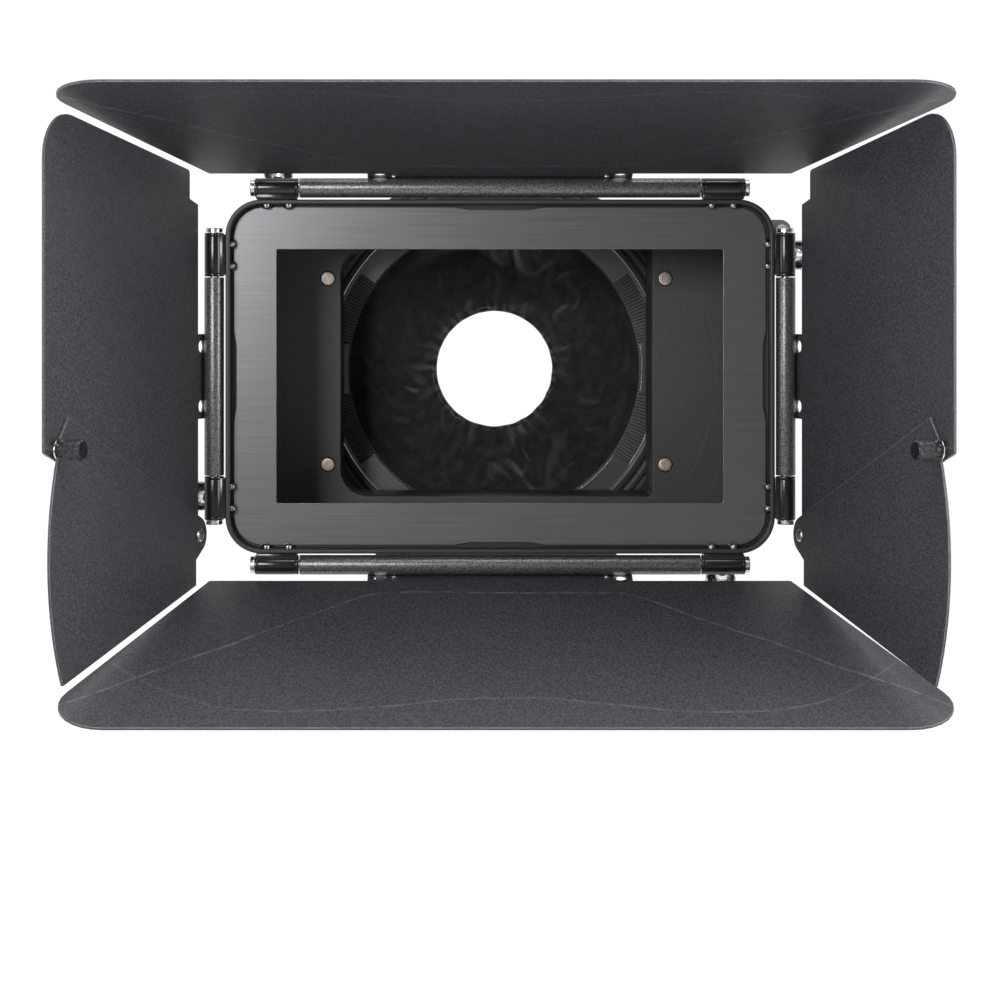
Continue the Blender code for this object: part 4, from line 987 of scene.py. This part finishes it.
def port_ring(sizes):
    """The lens port ring: stepped front face and a fine thread in its bore."""
    front, rear = depths("lens_port_ring")
    outer = port_radius()
    inner = outer - sizes.port_wall
    groove = sizes.groove
    profile = [(outer, front), (outer, rear - 0.001), (outer - 0.001, rear), (inner, rear)]
    thread_start = depths("fabric_donut")[1] + 0.001
    turns = int((rear - 0.001 - thread_start) / 0.00075)
    for k in range(turns, 0, -1):
        at = thread_start + 0.00075 * k
        profile += [(inner, at), (inner + groove * 0.7, at - 0.00037)]
    profile += [(inner, thread_start), (inner, front)]
    for share in (0.3, 0.65):
        at = inner + (outer - inner) * share
        profile += [(at - groove, front), (at, front + groove), (at + groove, front)]
    return turned("port_ring", profile, 192, STACK)


def screw_element(name, radius, height, socket, dome=0.0, steps=28):
    """A screw head on local z = 0: round or flat top with a hexagonal socket."""
    profile = [(radius, 0.0)]
    rise = max(dome, radius * 0.12)
    for k in range(5):
        a = math.pi / 2 * k / 4
        profile.append((radius - rise * (1 - math.cos(a)), height - rise + rise * math.sin(a)))
    bm = bmesh.new()
    loops = [[bm.verts.new((x, y, z)) for x, y in circle(r, steps)] for r, z in profile]
    for one, two in zip(loops, loops[1:]):
        for i in range(steps):
            bm.faces.new((one[i - 1], one[i], two[i], two[i - 1]))
    bm.faces.new(loops[0])
    corners = circle(socket, 6)
    rim = [bm.verts.new((x, y, height)) for x, y in corners]
    foot = [bm.verts.new((x * 0.94, y * 0.94, height * 0.35)) for x, y in corners]
    edges = [bm.edges.new((rim[i - 1], rim[i])) for i in range(6)]
    top = [e for e in bm.edges if all(v in loops[-1] for v in e.verts)]
    bmesh.ops.triangle_fill(bm, use_beauty=True, edges=top + edges, normal=(0, 0, 1))
    for i in range(6):
        bm.faces.new((rim[i - 1], rim[i], foot[i], foot[i - 1]))
    bm.faces.new(foot)
    return mesh_from(bm, name)


def rim_screw_places(sizes, wall):
    """Gives the places of the barrels' screw heads on the inside of the rim."""
    places = []
    for side in SIDES:
        matrix = rim_frame(side)
        for sign in (-1, 1):
            start, end, _ = barrel_span(side, sign)
            for step in (-0.5, 0.5):
                x = (start + end) / 2 + step * sizes.screw_pitch
                point = matrix @ Vector((x, 0, -sizes.out - wall))
                facing = -(matrix.col[2].to_3d())
                places.append((tuple(point), tuple(facing), (0, -1, 0)))
    return places


def barrel(side, sign, sizes):
    """A polished hinge barrel with turned end grooves and its milled foot."""
    start, end, node = barrel_span(side, sign)
    matrix = rim_frame(side)
    bore, r = 0.0023, sizes.barrel
    notch = 0.00025
    profile = [
        (bore, start), (r, start), (r, start + 0.0011), (r - notch, start + 0.0013), (r, start + 0.0015),
        (r, end - 0.0015), (r - notch, end - 0.0013), (r, end - 0.0011), (r, end), (bore, end),
    ]
    tube = turned("tube", profile, 64, matrix @ ALONG_X, ease=0.0002, steps=2)
    width = sizes.foot_width / 2
    foot = block(
        "foot", (start + 0.0006, -width, -sizes.out + 0.0001), (end - 0.0006, width, -0.0026), 0.0003, matrix)
    return piece(together(f"barrel_{side}_{SIDE_ENDS[side][0 if sign < 0 else 1]}", [tube, foot]),
                 "gloss_black", "hood", node)


def hinge_tube(side, sizes):
    """The coated tube that a flag is fixed to, with bare turned ends."""
    half = half_tube(side)
    r, bore = sizes.tube, 0.0024
    profile = [(bore, -half), (r, -half), (r, half), (bore, half)]
    mesh = turned(f"tube_{side}", profile, 64, flag_frame(side) @ ALONG_X, ease=0.0003)
    return piece(mesh, "tube_black", f"{side}_flag", f"hinge_tube_{side}")


def hinge_bolt(side, sizes):
    """The long bolt and its nut: bright ends with sockets."""
    matrix = flag_frame(side)
    low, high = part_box(f"hinge_rod_{side}")
    reach = (high - low)[0 if side in ("top", "bottom") else 2] / 2
    pin = turned("pin", [(0, -reach), (0.002, -reach), (0.002, reach), (0, reach)], 32, matrix @ ALONG_X)
    ends = []
    for sign in (-1, 1):
        head = screw_element("head", sizes.cap, sizes.cap_length, sizes.cap * 0.42, steps=40)
        turn = Matrix.Rotation(math.pi, 4, "Y") if sign < 0 else Matrix.Identity(4)
        place = ALONG_X @ Matrix.Translation((0, 0, sign * (reach - sizes.cap_length))) @ turn
        head.transform(matrix @ place)
        ends.append(head)
    return piece(together(f"bolt_{side}", [pin] + ends), "bright_steel", f"{side}_flag",
                 f"hinge_rod_{side}", f"hinge_nut_{side}")


def axis_matrix(joint_name, reverse=False):
    """Frame on a joint's axis, with local z along it."""
    joint = JOINTS[joint_name]
    axis = Vector(joint["axis"]).normalized()
    if reverse:
        axis = -axis
    matrix = axis.to_track_quat("Z", "Y").to_matrix().to_4x4()
    matrix.translation = Vector(joint["pos_m"])
    return matrix


def lock_knob(side, sizes):
    """A steel thumb knob with straight ridges, its stepped neck and its screw."""
    matrix = axis_matrix(f"{side}_lock_knob_turn")
    start, end = sizes.knob_start, sizes.knob_start + sizes.knob_length
    neck = sizes.knob_neck
    profile = [
        (0, 0.0023), (0.0014, 0.0023), (0.0014, sizes.barrel + 0.0004), (neck, sizes.barrel + 0.0004),
        (neck, start - 0.0012), (neck + 0.0012, start - 0.0010), (neck + 0.0012, start + 0.0002),
        (sizes.knob_radius * 0.62, start + 0.0002), (sizes.knob_radius * 0.62, end + 0.0), (0, end + 0.0),
    ]
    shank = turned("shank", profile, 40, matrix, ease=0.0002, steps=2)
    head = knurled(
        "head", "bright_steel", matrix @ Matrix.Translation((0, 0, start)), radius=sizes.knob_radius,
        height=sizes.knob_length, depth=0.0004, chamfer=0.0005, lean=0.0, teeth=sizes.knob_teeth, rows=12)
    return piece(together(f"thumb_knob_{side}", [shank, head]), "bright_steel", f"{side}_lock_knob",
                 f"lock_knob_{side}")


TONGUE_SCREW_SIDE = 0.0470
TONGUE_SCREW_REACH = 0.0028


def flat_uv(mesh, matrix):
    """Writes the inner face's place in a flat frame, in metres, as the mesh's UV map."""
    inverse = matrix.inverted()
    outward = matrix.col[2].to_3d()
    layer = mesh.uv_layers.new(name="flat")
    for face in mesh.polygons:
        inner = face.normal.dot(outward) < -0.5
        for index in face.loop_indices:
            local = inverse @ mesh.vertices[mesh.loops[index].vertex_index].co
            layer.data[index].uv = (local.x, local.y) if inner else (0.0, 0.0)


def flag(side, edge):
    """A powder-coated flag with eased edges; two small screws hold a wide flag's tongue."""
    mesh = refined(f"flag_{side}", f"{side}_flag_sheet", edge)
    matrix = flag_frame(side)
    if side in ("top", "bottom"):
        flat_uv(mesh, matrix)
    piece(mesh, "powder_coat", f"{side}_flag", f"flag_{side}", weighted=True)
    if side in ("top", "bottom"):
        inner = span_along(f"flag_{side}", matrix)[0]
        facing = -matrix.col[2].to_3d()
        along = matrix.col[0].to_3d()
        reach = TONGUE_SCREW_REACH
        places = [(matrix @ Vector((sign * TONGUE_SCREW_SIDE, reach, inner)), facing, along) for sign in (-1, 1)]
        head = screw_element("tongue_head", 0.0013, 0.0008, 0.0006, dome=0.0004)
        screws = scattered(f"tongue_screws_{side}", head, places, "bright_steel")
        piece(screws, "bright_steel", f"{side}_flag")


def wing(side, edge):
    """A wing, coated like the flags."""
    mesh = refined(f"wing_{side}", f"{side}_wing_sheet", edge)
    return piece(mesh, "powder_coat", f"{side}_wing", f"wing_{side}", weighted=True)


def wing_frame(side, joint_name):
    """Frame on a wing's pivot or stud, with z outwards from the flag's inner to its outer face."""
    matrix = flag_frame(side)
    matrix.translation = Vector(JOINTS[joint_name]["pos_m"])
    return matrix


def span_along(node, matrix):
    """Gives how far a node reaches along a frame's z."""
    inverse = matrix.inverted()
    heights = [(inverse @ v.co).z for v in frame["nodes"][node].data.vertices]
    return min(heights), max(heights)


def wing_pivot(side):
    """The bright pivot screw: slotted head inside, nut outside."""
    matrix = wing_frame(side, f"{side}_wing_pivot")
    low, high = span_along(f"wing_pivot_{side}", matrix)
    head = screw_element("head", 0.0028, 0.0012, 0.0011, dome=0.0007)
    head.transform(matrix @ Matrix.Translation((0, 0, low + 0.0012)) @ Matrix.Rotation(math.pi, 4, "X"))
    nut = screw_element("nut", 0.0032, 0.0020, 0.0013)
    nut.transform(matrix @ Matrix.Translation((0, 0, high - 0.0020)))
    shank = [(0, low + 0.0010), (0.0013, low + 0.0010), (0.0013, high - 0.0018), (0, high - 0.0018)]
    pin = turned("pin", shank, 24, matrix)
    return piece(together(f"pivot_screw_{side}", [head, nut, pin]), "bright_steel", f"{side}_flag",
                 f"wing_pivot_{side}")


def wing_knob(side):
    """The black diamond-knurled knob with its bright washer and nut, in two finishes."""
    matrix = wing_frame(side, f"{side}_wing_knob_turn")
    low, high = span_along(f"wing_knob_{side}", matrix)
    height, radius = 0.0080, 0.0042
    head = knurled(
        "head", "knob_black", matrix @ Matrix.Translation((0, 0, low)), radius=radius, height=height,
        depth=0.00035, chamfer=0.0006, lean=1900.0, teeth=30, rows=34)
    neck_end = low + height + 0.0026
    neck = turned("neck", [
        (0, low + height - 0.001), (0.0030, low + height - 0.001), (0.0030, neck_end), (0, neck_end)],
        40, matrix, ease=0.0002, steps=2)
    piece(together(f"knurled_knob_{side}", [head, neck]), "knob_black", f"{side}_wing_knob")
    washer = turned("washer", [
        (0, neck_end), (radius, neck_end), (radius, neck_end + 0.0006), (0.0015, neck_end + 0.0006),
        (0.0015, high - 0.0020), (0.0032, high - 0.0020), (0.0032, high), (0, high)],
        40, matrix, ease=0.00015, steps=2)
    washer.name = f"knob_washer_{side}"
    return piece(washer, "bright_steel", f"{side}_wing_knob", f"wing_knob_{side}")


def tray_lock():
    """The small knurled screw in the stage's ear."""
    matrix = axis_matrix("tray_lock_turn")
    low, high = span_along("tray_lock_screw", matrix)
    head = knurled(
        "head", "bright_steel", matrix @ Matrix.Translation((0, 0, low)), radius=0.0029, height=0.0040,
        depth=0.0002, chamfer=0.0004, lean=0.0, teeth=26, rows=10)
    stem = turned("stem", [
        (0, low + 0.003), (0.00145, low + 0.003), (0.00145, high - 0.0017), (0.0023, high - 0.0017),
        (0.0023, high), (0, high)], 32, matrix, ease=0.0002, steps=2)
    return piece(together("tray_screw", [head, stem]), "bright_steel", "tray_lock", "tray_lock_screw")


def clamp_knob():
    """The black knob under the rod clamp, with its bright screw inside the bracket."""
    matrix = axis_matrix("rod_clamp_knob_turn")
    low, high = span_along("rod_clamp_knob", matrix)
    collar = 0.0030
    head = knurled(
        "head", "knob_black", matrix @ Matrix.Translation((0, 0, low)), radius=0.0100, height=-low - collar,
        depth=0.0005, chamfer=0.0009, lean=900.0, teeth=44, rows=30)
    collar_mesh = turned("collar", [
        (0, -collar - 0.001), (0.0062, -collar - 0.001), (0.0062, -0.0003), (0, -0.0003)],
        48, matrix, ease=0.0003)
    piece(together("clamp_knob_head", [head, collar_mesh]), "knob_black", "clamp_knob")
    screw = turned("clamp_knob_screw", [(0, -0.0010), (0.0025, -0.0010), (0.0025, high), (0, high)],
                   32, matrix, ease=0.0003)
    return piece(screw, "bright_steel", "clamp_knob", "rod_clamp_knob")


def retainer(sizes):
    """The flat spring ring with its fingers."""
    front, rear = depths("finger_retainer")
    outer = (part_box("finger_retainer")[1].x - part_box("finger_retainer")[0].x) / 2
    pitch = 2 * math.pi / sizes.fingers
    half = sizes.finger_half
    gap = pitch - 2 * half
    inner = []
    for finger in range(sizes.fingers):
        for k in range(9):
            a = finger * pitch - half + 2 * half * k / 8
            inner.append((sizes.finger_inner * math.cos(a), sizes.finger_inner * math.sin(a)))
        for k in range(13):
            a = finger * pitch + half + gap * k / 12
            inner.append(((outer - sizes.band) * math.cos(a), (outer - sizes.band) * math.sin(a)))
    return plate("retainer_fingers", circle(outer, 144), [inner], front, rear, 0.00018, STACK)


def elastic(sizes):
    """The elastic ring and the ribs across it."""
    front, rear = depths("elastic_band")
    outer = (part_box("elastic_band")[1].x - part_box("elastic_band")[0].x) / 2
    inner = sizes.elastic
    profile = [(outer, front + 0.0003), (outer, rear), (inner, rear), (inner, front + 0.0003)]
    band = turned("band", profile, 144, STACK, ease=0.0003)
    rib = block("rib", (-(outer - inner) / 2, -0.00042, -0.0006), ((outer - inner) / 2, 0.00042, 0.0), 0.0003)
    places = []
    middle_radius = (outer + inner) / 2
    for k in range(sizes.ribs):
        a = 2 * math.pi * k / sizes.ribs
        out = Vector((math.cos(a), 0, math.sin(a)))
        places.append((tuple(out * middle_radius + Vector((0, FRONT + front, 0))), (0, -1, 0), tuple(out)))
    ribs = scattered("ribs", rib, places, "elastic_weave")
    return together("elastic_ring", [band, ribs])


CUFF_AROUND = 360
CUFF_ALONG = 30


def cuff_point(sizes, share, angle, spread):
    """Gives a point of the cuff before it settles: share 0 at the elastic, 1 at the hole."""
    edge = depths("elastic_band")[1] + 0.0004
    radius = sizes.rim + (sizes.hole - sizes.rim) * share
    rise = sizes.bulge * math.sin(math.pi * min(1.0, share * 0.92)) ** 0.8
    wave = pleat(sizes, angle)
    fold = 0.0026 * wave * share ** 4
    turn = Vector((math.cos(angle), math.sin(angle), 0.0)) * radius
    swell = 0.0050 * noise.noise(turn * 38.0 + Vector((0, 0, 7)))
    ridge = 0.0050 * (0.35 - abs(noise.noise(turn * 75.0 + Vector((4, 2, 3)))))
    crush = 0.0020 * (0.3 - abs(noise.noise(turn * 190.0 + Vector((1, 5, 9)))))
    depth = edge - rise + (fold + (swell + ridge + crush) * math.sin(math.pi * share) ** 0.5) * spread
    return Vector((radius * math.cos(angle), radius * math.sin(angle), depth))


def pleat(sizes, angle):
    """Gives the uneven pleat wave round the hole, from -1 to 1."""
    drift = 0.55 * noise.noise(Vector((math.cos(angle) * 1.3, math.sin(angle) * 1.3, 3.0)))
    return math.sin(sizes.pleats * angle + drift * math.pi * 2)


def settled(item, scene, frames):
    """Lets the cloth settle between its two held edges."""
    cloth = item.modifiers.new("settle", "CLOTH")
    setting = cloth.settings
    setting.quality = 8
    setting.mass = 0.12
    setting.tension_stiffness = 12.0
    setting.compression_stiffness = 12.0
    setting.shear_stiffness = 4.0
    setting.bending_stiffness = 0.02
    setting.air_damping = 2.0
    setting.vertex_group_mass = "held"
    setting.rest_shape_key = item.data.shape_keys.key_blocks["cut"]
    cloth.collision_settings.use_collision = False
    cloth.collision_settings.use_self_collision = False
    cloth.point_cache.frame_end = frames
    for step in range(1, frames + 1):
        scene.frame_set(step)
    return item


def cuff(sizes):
    """The gathered cloth cuff: held at the elastic and at its hole, settled in between."""
    bm = bmesh.new()
    rings = []
    for j in range(CUFF_ALONG + 1):
        share = j / CUFF_ALONG
        turns = [2 * math.pi * i / CUFF_AROUND for i in range(CUFF_AROUND)]
        rings.append([bm.verts.new(cuff_point(sizes, share, a, 1.0)) for a in turns])
    for one, two in zip(rings, rings[1:]):
        for i in range(CUFF_AROUND):
            bm.faces.new((one[i - 1], one[i], two[i], two[i - 1]))
    mesh = bpy.data.meshes.new("cuff_sheet")
    bm.to_mesh(mesh)
    bm.free()
    item = bpy.data.objects.new("cuff_sheet", mesh)
    bpy.context.scene.collection.objects.link(item)
    held = item.vertex_groups.new(name="held")
    ends = list(range(CUFF_AROUND)) + list(range(CUFF_ALONG * CUFF_AROUND, (CUFF_ALONG + 1) * CUFF_AROUND))
    held.add(ends, 1.0, "REPLACE")
    item.shape_key_add(name="Basis")
    cut = item.shape_key_add(name="cut")
    drop = math.sqrt(sizes.cut_length ** 2 - (sizes.cut_rim - sizes.cut_hole) ** 2)
    for j in range(CUFF_ALONG + 1):
        share = j / CUFF_ALONG
        radius = sizes.cut_rim + (sizes.cut_hole - sizes.cut_rim) * share
        for i in range(CUFF_AROUND):
            a = 2 * math.pi * i / CUFF_AROUND
            cut.data[j * CUFF_AROUND + i].co = (radius * math.cos(a), radius * math.sin(a), -drop * share)
    scene = bpy.context.scene
    scene.gravity = (0, 0, 0)
    settled(item, scene, 28)
    item = applied(item)
    scene.frame_set(1)
    return item


def creased(sizes, point):
    """Gives how far the crushed cloth stands forward at a point: sharp creases, soft hollows."""
    radius = math.hypot(point.x, point.y)
    share = (sizes.rim - radius) / (sizes.rim - sizes.hole)
    fade = max(0.0, min(1.0, share * 5.0, (1.0 - share) * 7.0))
    spot = Vector((point.x, point.y, 0.0))
    spot += noise.noise_vector(spot * 24.0) * 0.014
    large = 0.30 - abs(noise.noise(spot * 36.0 + Vector((4, 2, 3))))
    small = 0.28 - abs(noise.noise(spot * 85.0 + Vector((1, 5, 9))))
    return (large * 0.0150 + small * 0.0055 - 0.0008) * fade


def cuff_piece(sizes):
    """Finishes the cuff: kept in its space, given its thickness and its cloth finish."""
    item = cuff(sizes)
    mesh = item.data
    front = depths("fabric_donut")[0] + 0.0004
    rear = depths("fabric_donut")[1]
    edge = depths("elastic_band")[1] + 0.0003
    for vert in mesh.vertices:
        vert.co.z -= creased(sizes, vert.co)
        radius = math.hypot(vert.co.x, vert.co.y)
        least = front if radius < 0.056 else front + (edge - front) * min(1.0, (radius - 0.056) / 0.012)
        vert.co.z = min(max(vert.co.z, least), rear)
    mesh.transform(STACK)
    mesh.update()
    subdivided = item.modifiers.new("smooth", "SUBSURF")
    subdivided.levels = 1
    subdivided.render_levels = 1
    walls = item.modifiers.new("cloth", "SOLIDIFY")
    walls.thickness = 0.0006
    walls.offset = 0.0
    item = applied(item)
    item.data.shade_smooth()
    item.data.materials.clear()
    item.data.materials.append(finish_material("cuff_cloth"))
    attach(item, "hood")
    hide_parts("fabric_donut")
    return item


def hem(sizes):
    """The rolled hem round the hole, following the pleats."""
    rings = []
    for i in range(CUFF_AROUND):
        a = 2 * math.pi * i / CUFF_AROUND
        centre = cuff_point(sizes, 1.0, a, 1.0)
        ahead = cuff_point(sizes, 1.0, a + 0.01, 1.0) - cuff_point(sizes, 1.0, a - 0.01, 1.0)
        across = Vector((math.cos(a), math.sin(a), 0))
        third = ahead.cross(across).normalized()
        r = 0.0011
        rings.append([tuple(centre + across * r * x + third * r * y) for x, y in circle(1.0, 10)])
    mesh = loft("cuff_hem", rings, closed=True, matrix=STACK)
    return piece(mesh, "cuff_cloth", "hood")


# Operators ---------------------------------------------------------------------------------------


class MATTEBOX_OT_stage(bpy.types.Operator):
    """Makes the pale floor, the soft lights, the room and the camera"""
    bl_idname = "matte_box.stage"
    bl_label = "Stage"

    def execute(self, context):
        setting = context.scene.matte_box_stage
        self.floor(setting)
        self.room(context.scene, setting)
        self.lights(setting)
        data = bpy.data.cameras.new("camera")
        data.lens = setting.lens
        data.sensor_width = 36.0
        data.shift_x = 0.053
        data.shift_y = -0.197
        camera = bpy.data.objects.new("camera", data)
        camera.location = (-setting.side, FRONT - setting.distance, setting.height)
        camera.rotation_euler = (math.pi / 2, 0, 0)
        context.scene.collection.objects.link(camera)
        context.scene.camera = camera
        context.scene.view_settings.view_transform = "Standard"
        return {"FINISHED"}

    def floor(self, setting):
        """A wide pale floor below the object."""
        bm = bmesh.new()
        bmesh.ops.create_circle(bm, cap_ends=True, segments=96, radius=9.0)
        bmesh.ops.translate(bm, vec=(0, 0, CAD_LOW.z - setting.floor_drop), verts=bm.verts)
        floor = bpy.data.objects.new("floor", mesh_from(bm, "floor"))
        bpy.context.scene.collection.objects.link(floor)
        pale = Finish("pale_floor", Roughness=0.9, Emission_Strength=setting.glow)
        cloud = pale.grain(3.0, 2.0)
        away = pale.node("ShaderNodeSeparateXYZ", {}, {0: pale.place()}, 1)
        pale.set(
            Base_Color=pale.mix(cloud, (0.88, 0.88, 0.89), (0.92, 0.92, 0.92)),
            Emission_Color=pale.ramp(away, (0.35, 0.0), (0.80, 1.0)))
        floor.data.materials.append(pale.material)

    def room(self, scene, setting):
        """White surroundings, dimmer in front of the object than behind it."""
        world = bpy.data.worlds.new("room")
        world.use_nodes = True
        scene.world = world
        nodes, links = world.node_tree.nodes, world.node_tree.links
        seen = nodes["Background"]
        seen.inputs["Color"].default_value = (1, 1, 1, 1)
        seen.inputs["Strength"].default_value = 1.05
        lit = nodes.new("ShaderNodeBackground")
        where = nodes.new("ShaderNodeTexCoord")
        apart = nodes.new("ShaderNodeSeparateXYZ")
        spread = nodes.new("ShaderNodeMapRange")
        spread.inputs["From Min"].default_value = -0.6
        spread.inputs["From Max"].default_value = 0.6
        spread.inputs["To Min"].default_value = setting.front
        spread.inputs["To Max"].default_value = setting.back
        links.new(where.outputs["Generated"], apart.inputs[0])
        links.new(apart.outputs[1], spread.inputs["Value"])
        links.new(spread.outputs["Result"], lit.inputs["Strength"])
        path = nodes.new("ShaderNodeLightPath")
        mixed = nodes.new("ShaderNodeMixShader")
        links.new(path.outputs["Is Camera Ray"], mixed.inputs[0])
        links.new(lit.outputs[0], mixed.inputs[1])
        links.new(seen.outputs[0], mixed.inputs[2])
        links.new(mixed.outputs[0], nodes["World Output"].inputs["Surface"])

    def lights(self, setting):
        """A small key left of the camera, and soft lights above and at both sides of the flags."""
        rig = [
            ("key", setting.key, (-0.42, FRONT - 1.00, 0.20), 0.28),
            ("top", setting.top, (0.05, FRONT - 0.42, 0.90), 0.60),
            ("left", setting.left, (-0.85, FRONT - 0.42, 0.12), 0.50),
            ("right", setting.right, (0.85, FRONT - 0.40, 0.10), 0.50),
        ]
        for name, power, place, size in rig:
            data = bpy.data.lights.new(name, "AREA")
            data.energy = power
            data.size = size
            lamp = bpy.data.objects.new(name, data)
            lamp.location = place
            lamp.rotation_euler = (Vector((0, FRONT, 0)) - Vector(place)).to_track_quat("-Z", "Y").to_euler()
            bpy.context.scene.collection.objects.link(lamp)


class MATTEBOX_OT_front(bpy.types.Operator):
    """Makes the front housing, the mask and the screws inside the rim"""
    bl_idname = "matte_box.front"
    bl_label = "Front housing"

    def execute(self, context):
        sizes, hinge = context.scene.matte_box_housing, context.scene.matte_box_hinges
        piece(front_housing(sizes), "rim_black", "hood", "hood_shell", weighted=True)
        piece(refined("mask_plate", "mask_sheet", 0.00015), "mask_grey", "hood", "mask_plate", weighted=True)
        head = screw_element("rim_head", hinge.screw_head, 0.0021, hinge.screw_head * 0.45, dome=0.0012)
        screws = scattered("rim_screws", head, rim_screw_places(hinge, sizes.wall), "dark_steel")
        piece(screws, "dark_steel", "hood")
        return {"FINISHED"}


class MATTEBOX_OT_stage_block(bpy.types.Operator):
    """Makes the stage plate with its screws, the filter stage, the trays and the tray lock"""
    bl_idname = "matte_box.stage_block"
    bl_label = "Filter stage"

    def execute(self, context):
        edge = context.scene.matte_box_housing.edge
        piece(refined("stage_plate", "stage_sheet", edge), "stage_black", "hood", "stage_plate", weighted=True)
        piece(refined("filter_stage", "stage_body", edge), "stage_black", "hood", "filter_stage", weighted=True)
        for name in ("front", "rear"):
            mesh = refined(f"filter_tray_{name}", f"tray_{name}", edge)
            piece(mesh, "rim_black", f"{name}_tray", f"filter_tray_{name}", weighted=True)
        nodes = [f"stage_screw_{v}_{h}" for v in ("upper", "lower") for h in ("left", "right")]
        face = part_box("stage_plate")[0].y
        places = []
        for node in nodes:
            centre = middle(node)
            places.append(((centre.x, face + 0.0009, centre.z), (0, -1, 0), (0.8, 0, 0.6)))
        head = screw_element("stage_head", 0.0033, 0.0009, 0.0013)
        piece(scattered("stage_screws", head, places, "warm_steel"), "warm_steel", "hood", *nodes)
        tray_lock()
        return {"FINISHED"}


class MATTEBOX_OT_rear(bpy.types.Operator):
    """Makes the round housing, its screws and the lens port ring"""
    bl_idname = "matte_box.rear"
    bl_label = "Rear housing"

    def execute(self, context):
        sizes = context.scene.matte_box_housing
        piece(round_housing(sizes), "rim_black", "hood", "rear_housing")
        piece(port_ring(sizes), "rim_black", "hood", "lens_port_ring")
        nodes = [f"housing_screw_{v}_{h}" for v in ("upper", "lower") for h in ("left", "right")]
        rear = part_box("rear_housing")[1].y
        places = []
        for node in nodes:
            centre = middle(node)
            places.append(((centre.x, rear, centre.z), (0, 1, 0), (0.9, 0, 0.4)))
        head = screw_element("housing_head", 0.0024, 0.0016, 0.0011)
        piece(scattered("housing_screws", head, places, "bright_steel"), "bright_steel", "hood", *nodes)
        return {"FINISHED"}


class MATTEBOX_OT_cuff(bpy.types.Operator):
    """Makes the retainer, the ribbed elastic and the gathered cloth cuff"""
    bl_idname = "matte_box.cuff"
    bl_label = "Cloth cuff"

    def execute(self, context):
        sizes = context.scene.matte_box_cuff
        piece(retainer(sizes), "mask_grey", "hood", "finger_retainer", weighted=True)
        piece(elastic(sizes), "elastic_weave", "hood", "elastic_band")
        cuff_piece(sizes)
        hem(sizes)
        return {"FINISHED"}


class MATTEBOX_OT_rods(bpy.types.Operator):
    """Makes the rod bracket, its clamp cap, the clamp knob and the studs"""
    bl_idname = "matte_box.rods"
    bl_label = "Rod bracket"

    def execute(self, context):
        edge = context.scene.matte_box_housing.bracket_edge
        for node in ("rod_bracket", "rod_clamp_cap"):
            piece(refined(node, node + "_body", edge, 3), "stage_black", "hood", node, weighted=True)
        for side in ("left", "right"):
            node = f"bracket_stud_{side}"
            piece(refined(node, f"stud_{side}", 0.0002), "bright_steel", "hood", node, weighted=True)
        clamp_knob()
        return {"FINISHED"}


class MATTEBOX_OT_hinges(bpy.types.Operator):
    """Makes the barrels, tubes, bolts and lock knobs of the four hinges"""
    bl_idname = "matte_box.hinges"
    bl_label = "Hinges"

    def execute(self, context):
        sizes = context.scene.matte_box_hinges
        for side in SIDES:
            for sign in (-1, 1):
                barrel(side, sign, sizes)
            hinge_tube(side, sizes)
            hinge_bolt(side, sizes)
            lock_knob(side, sizes)
        return {"FINISHED"}


class MATTEBOX_OT_flags(bpy.types.Operator):
    """Makes the four flags, the two wings, their pivots and their knobs"""
    bl_idname = "matte_box.flags"
    bl_label = "Flags"

    def execute(self, context):
        edge = context.scene.matte_box_housing.edge
        for side in SIDES:
            flag(side, edge)
        for side in ("left", "right"):
            wing(side, edge)
            wing_pivot(side)
            wing_knob(side)
        return {"FINISHED"}


OPERATORS = (
    MATTEBOX_OT_front, MATTEBOX_OT_stage_block, MATTEBOX_OT_rear, MATTEBOX_OT_cuff, MATTEBOX_OT_rods,
    MATTEBOX_OT_hinges, MATTEBOX_OT_flags, MATTEBOX_OT_stage,
)


class MATTEBOX_PT_panel(bpy.types.Panel):
    """Lists the steps that build the matte box"""
    bl_idname = "MATTEBOX_PT_panel"
    bl_label = "Matte box"
    bl_space_type = "VIEW_3D"
    bl_region_type = "UI"
    bl_category = "Matte box"

    def draw(self, context):
        for operator in OPERATORS:
            self.layout.operator(operator.bl_idname)


GROUPS = {
    "matte_box_housing": HousingSizes, "matte_box_hinges": HingeSizes, "matte_box_cuff": CuffSizes,
    "matte_box_colours": FinishColours, "matte_box_stage": StageSettings,
}


def register():
    """Registers the property groups, the operators and the panel."""
    for name, group in GROUPS.items():
        bpy.utils.register_class(group)
        setattr(bpy.types.Scene, name, PointerProperty(type=group))
    for made in OPERATORS + (MATTEBOX_PT_panel,):
        bpy.utils.register_class(made)


def unregister():
    """Takes back what register did."""
    for made in reversed(OPERATORS + (MATTEBOX_PT_panel,)):
        bpy.utils.unregister_class(made)
    for name, group in reversed(list(GROUPS.items())):
        delattr(bpy.types.Scene, name)
        bpy.utils.unregister_class(group)


def main():
    """Builds every piece."""
    register()
    for operator in OPERATORS:
        step = operator.bl_idname.split(".")[1]
        getattr(bpy.ops.matte_box, step)()


if __name__ == "__main__":
    main()
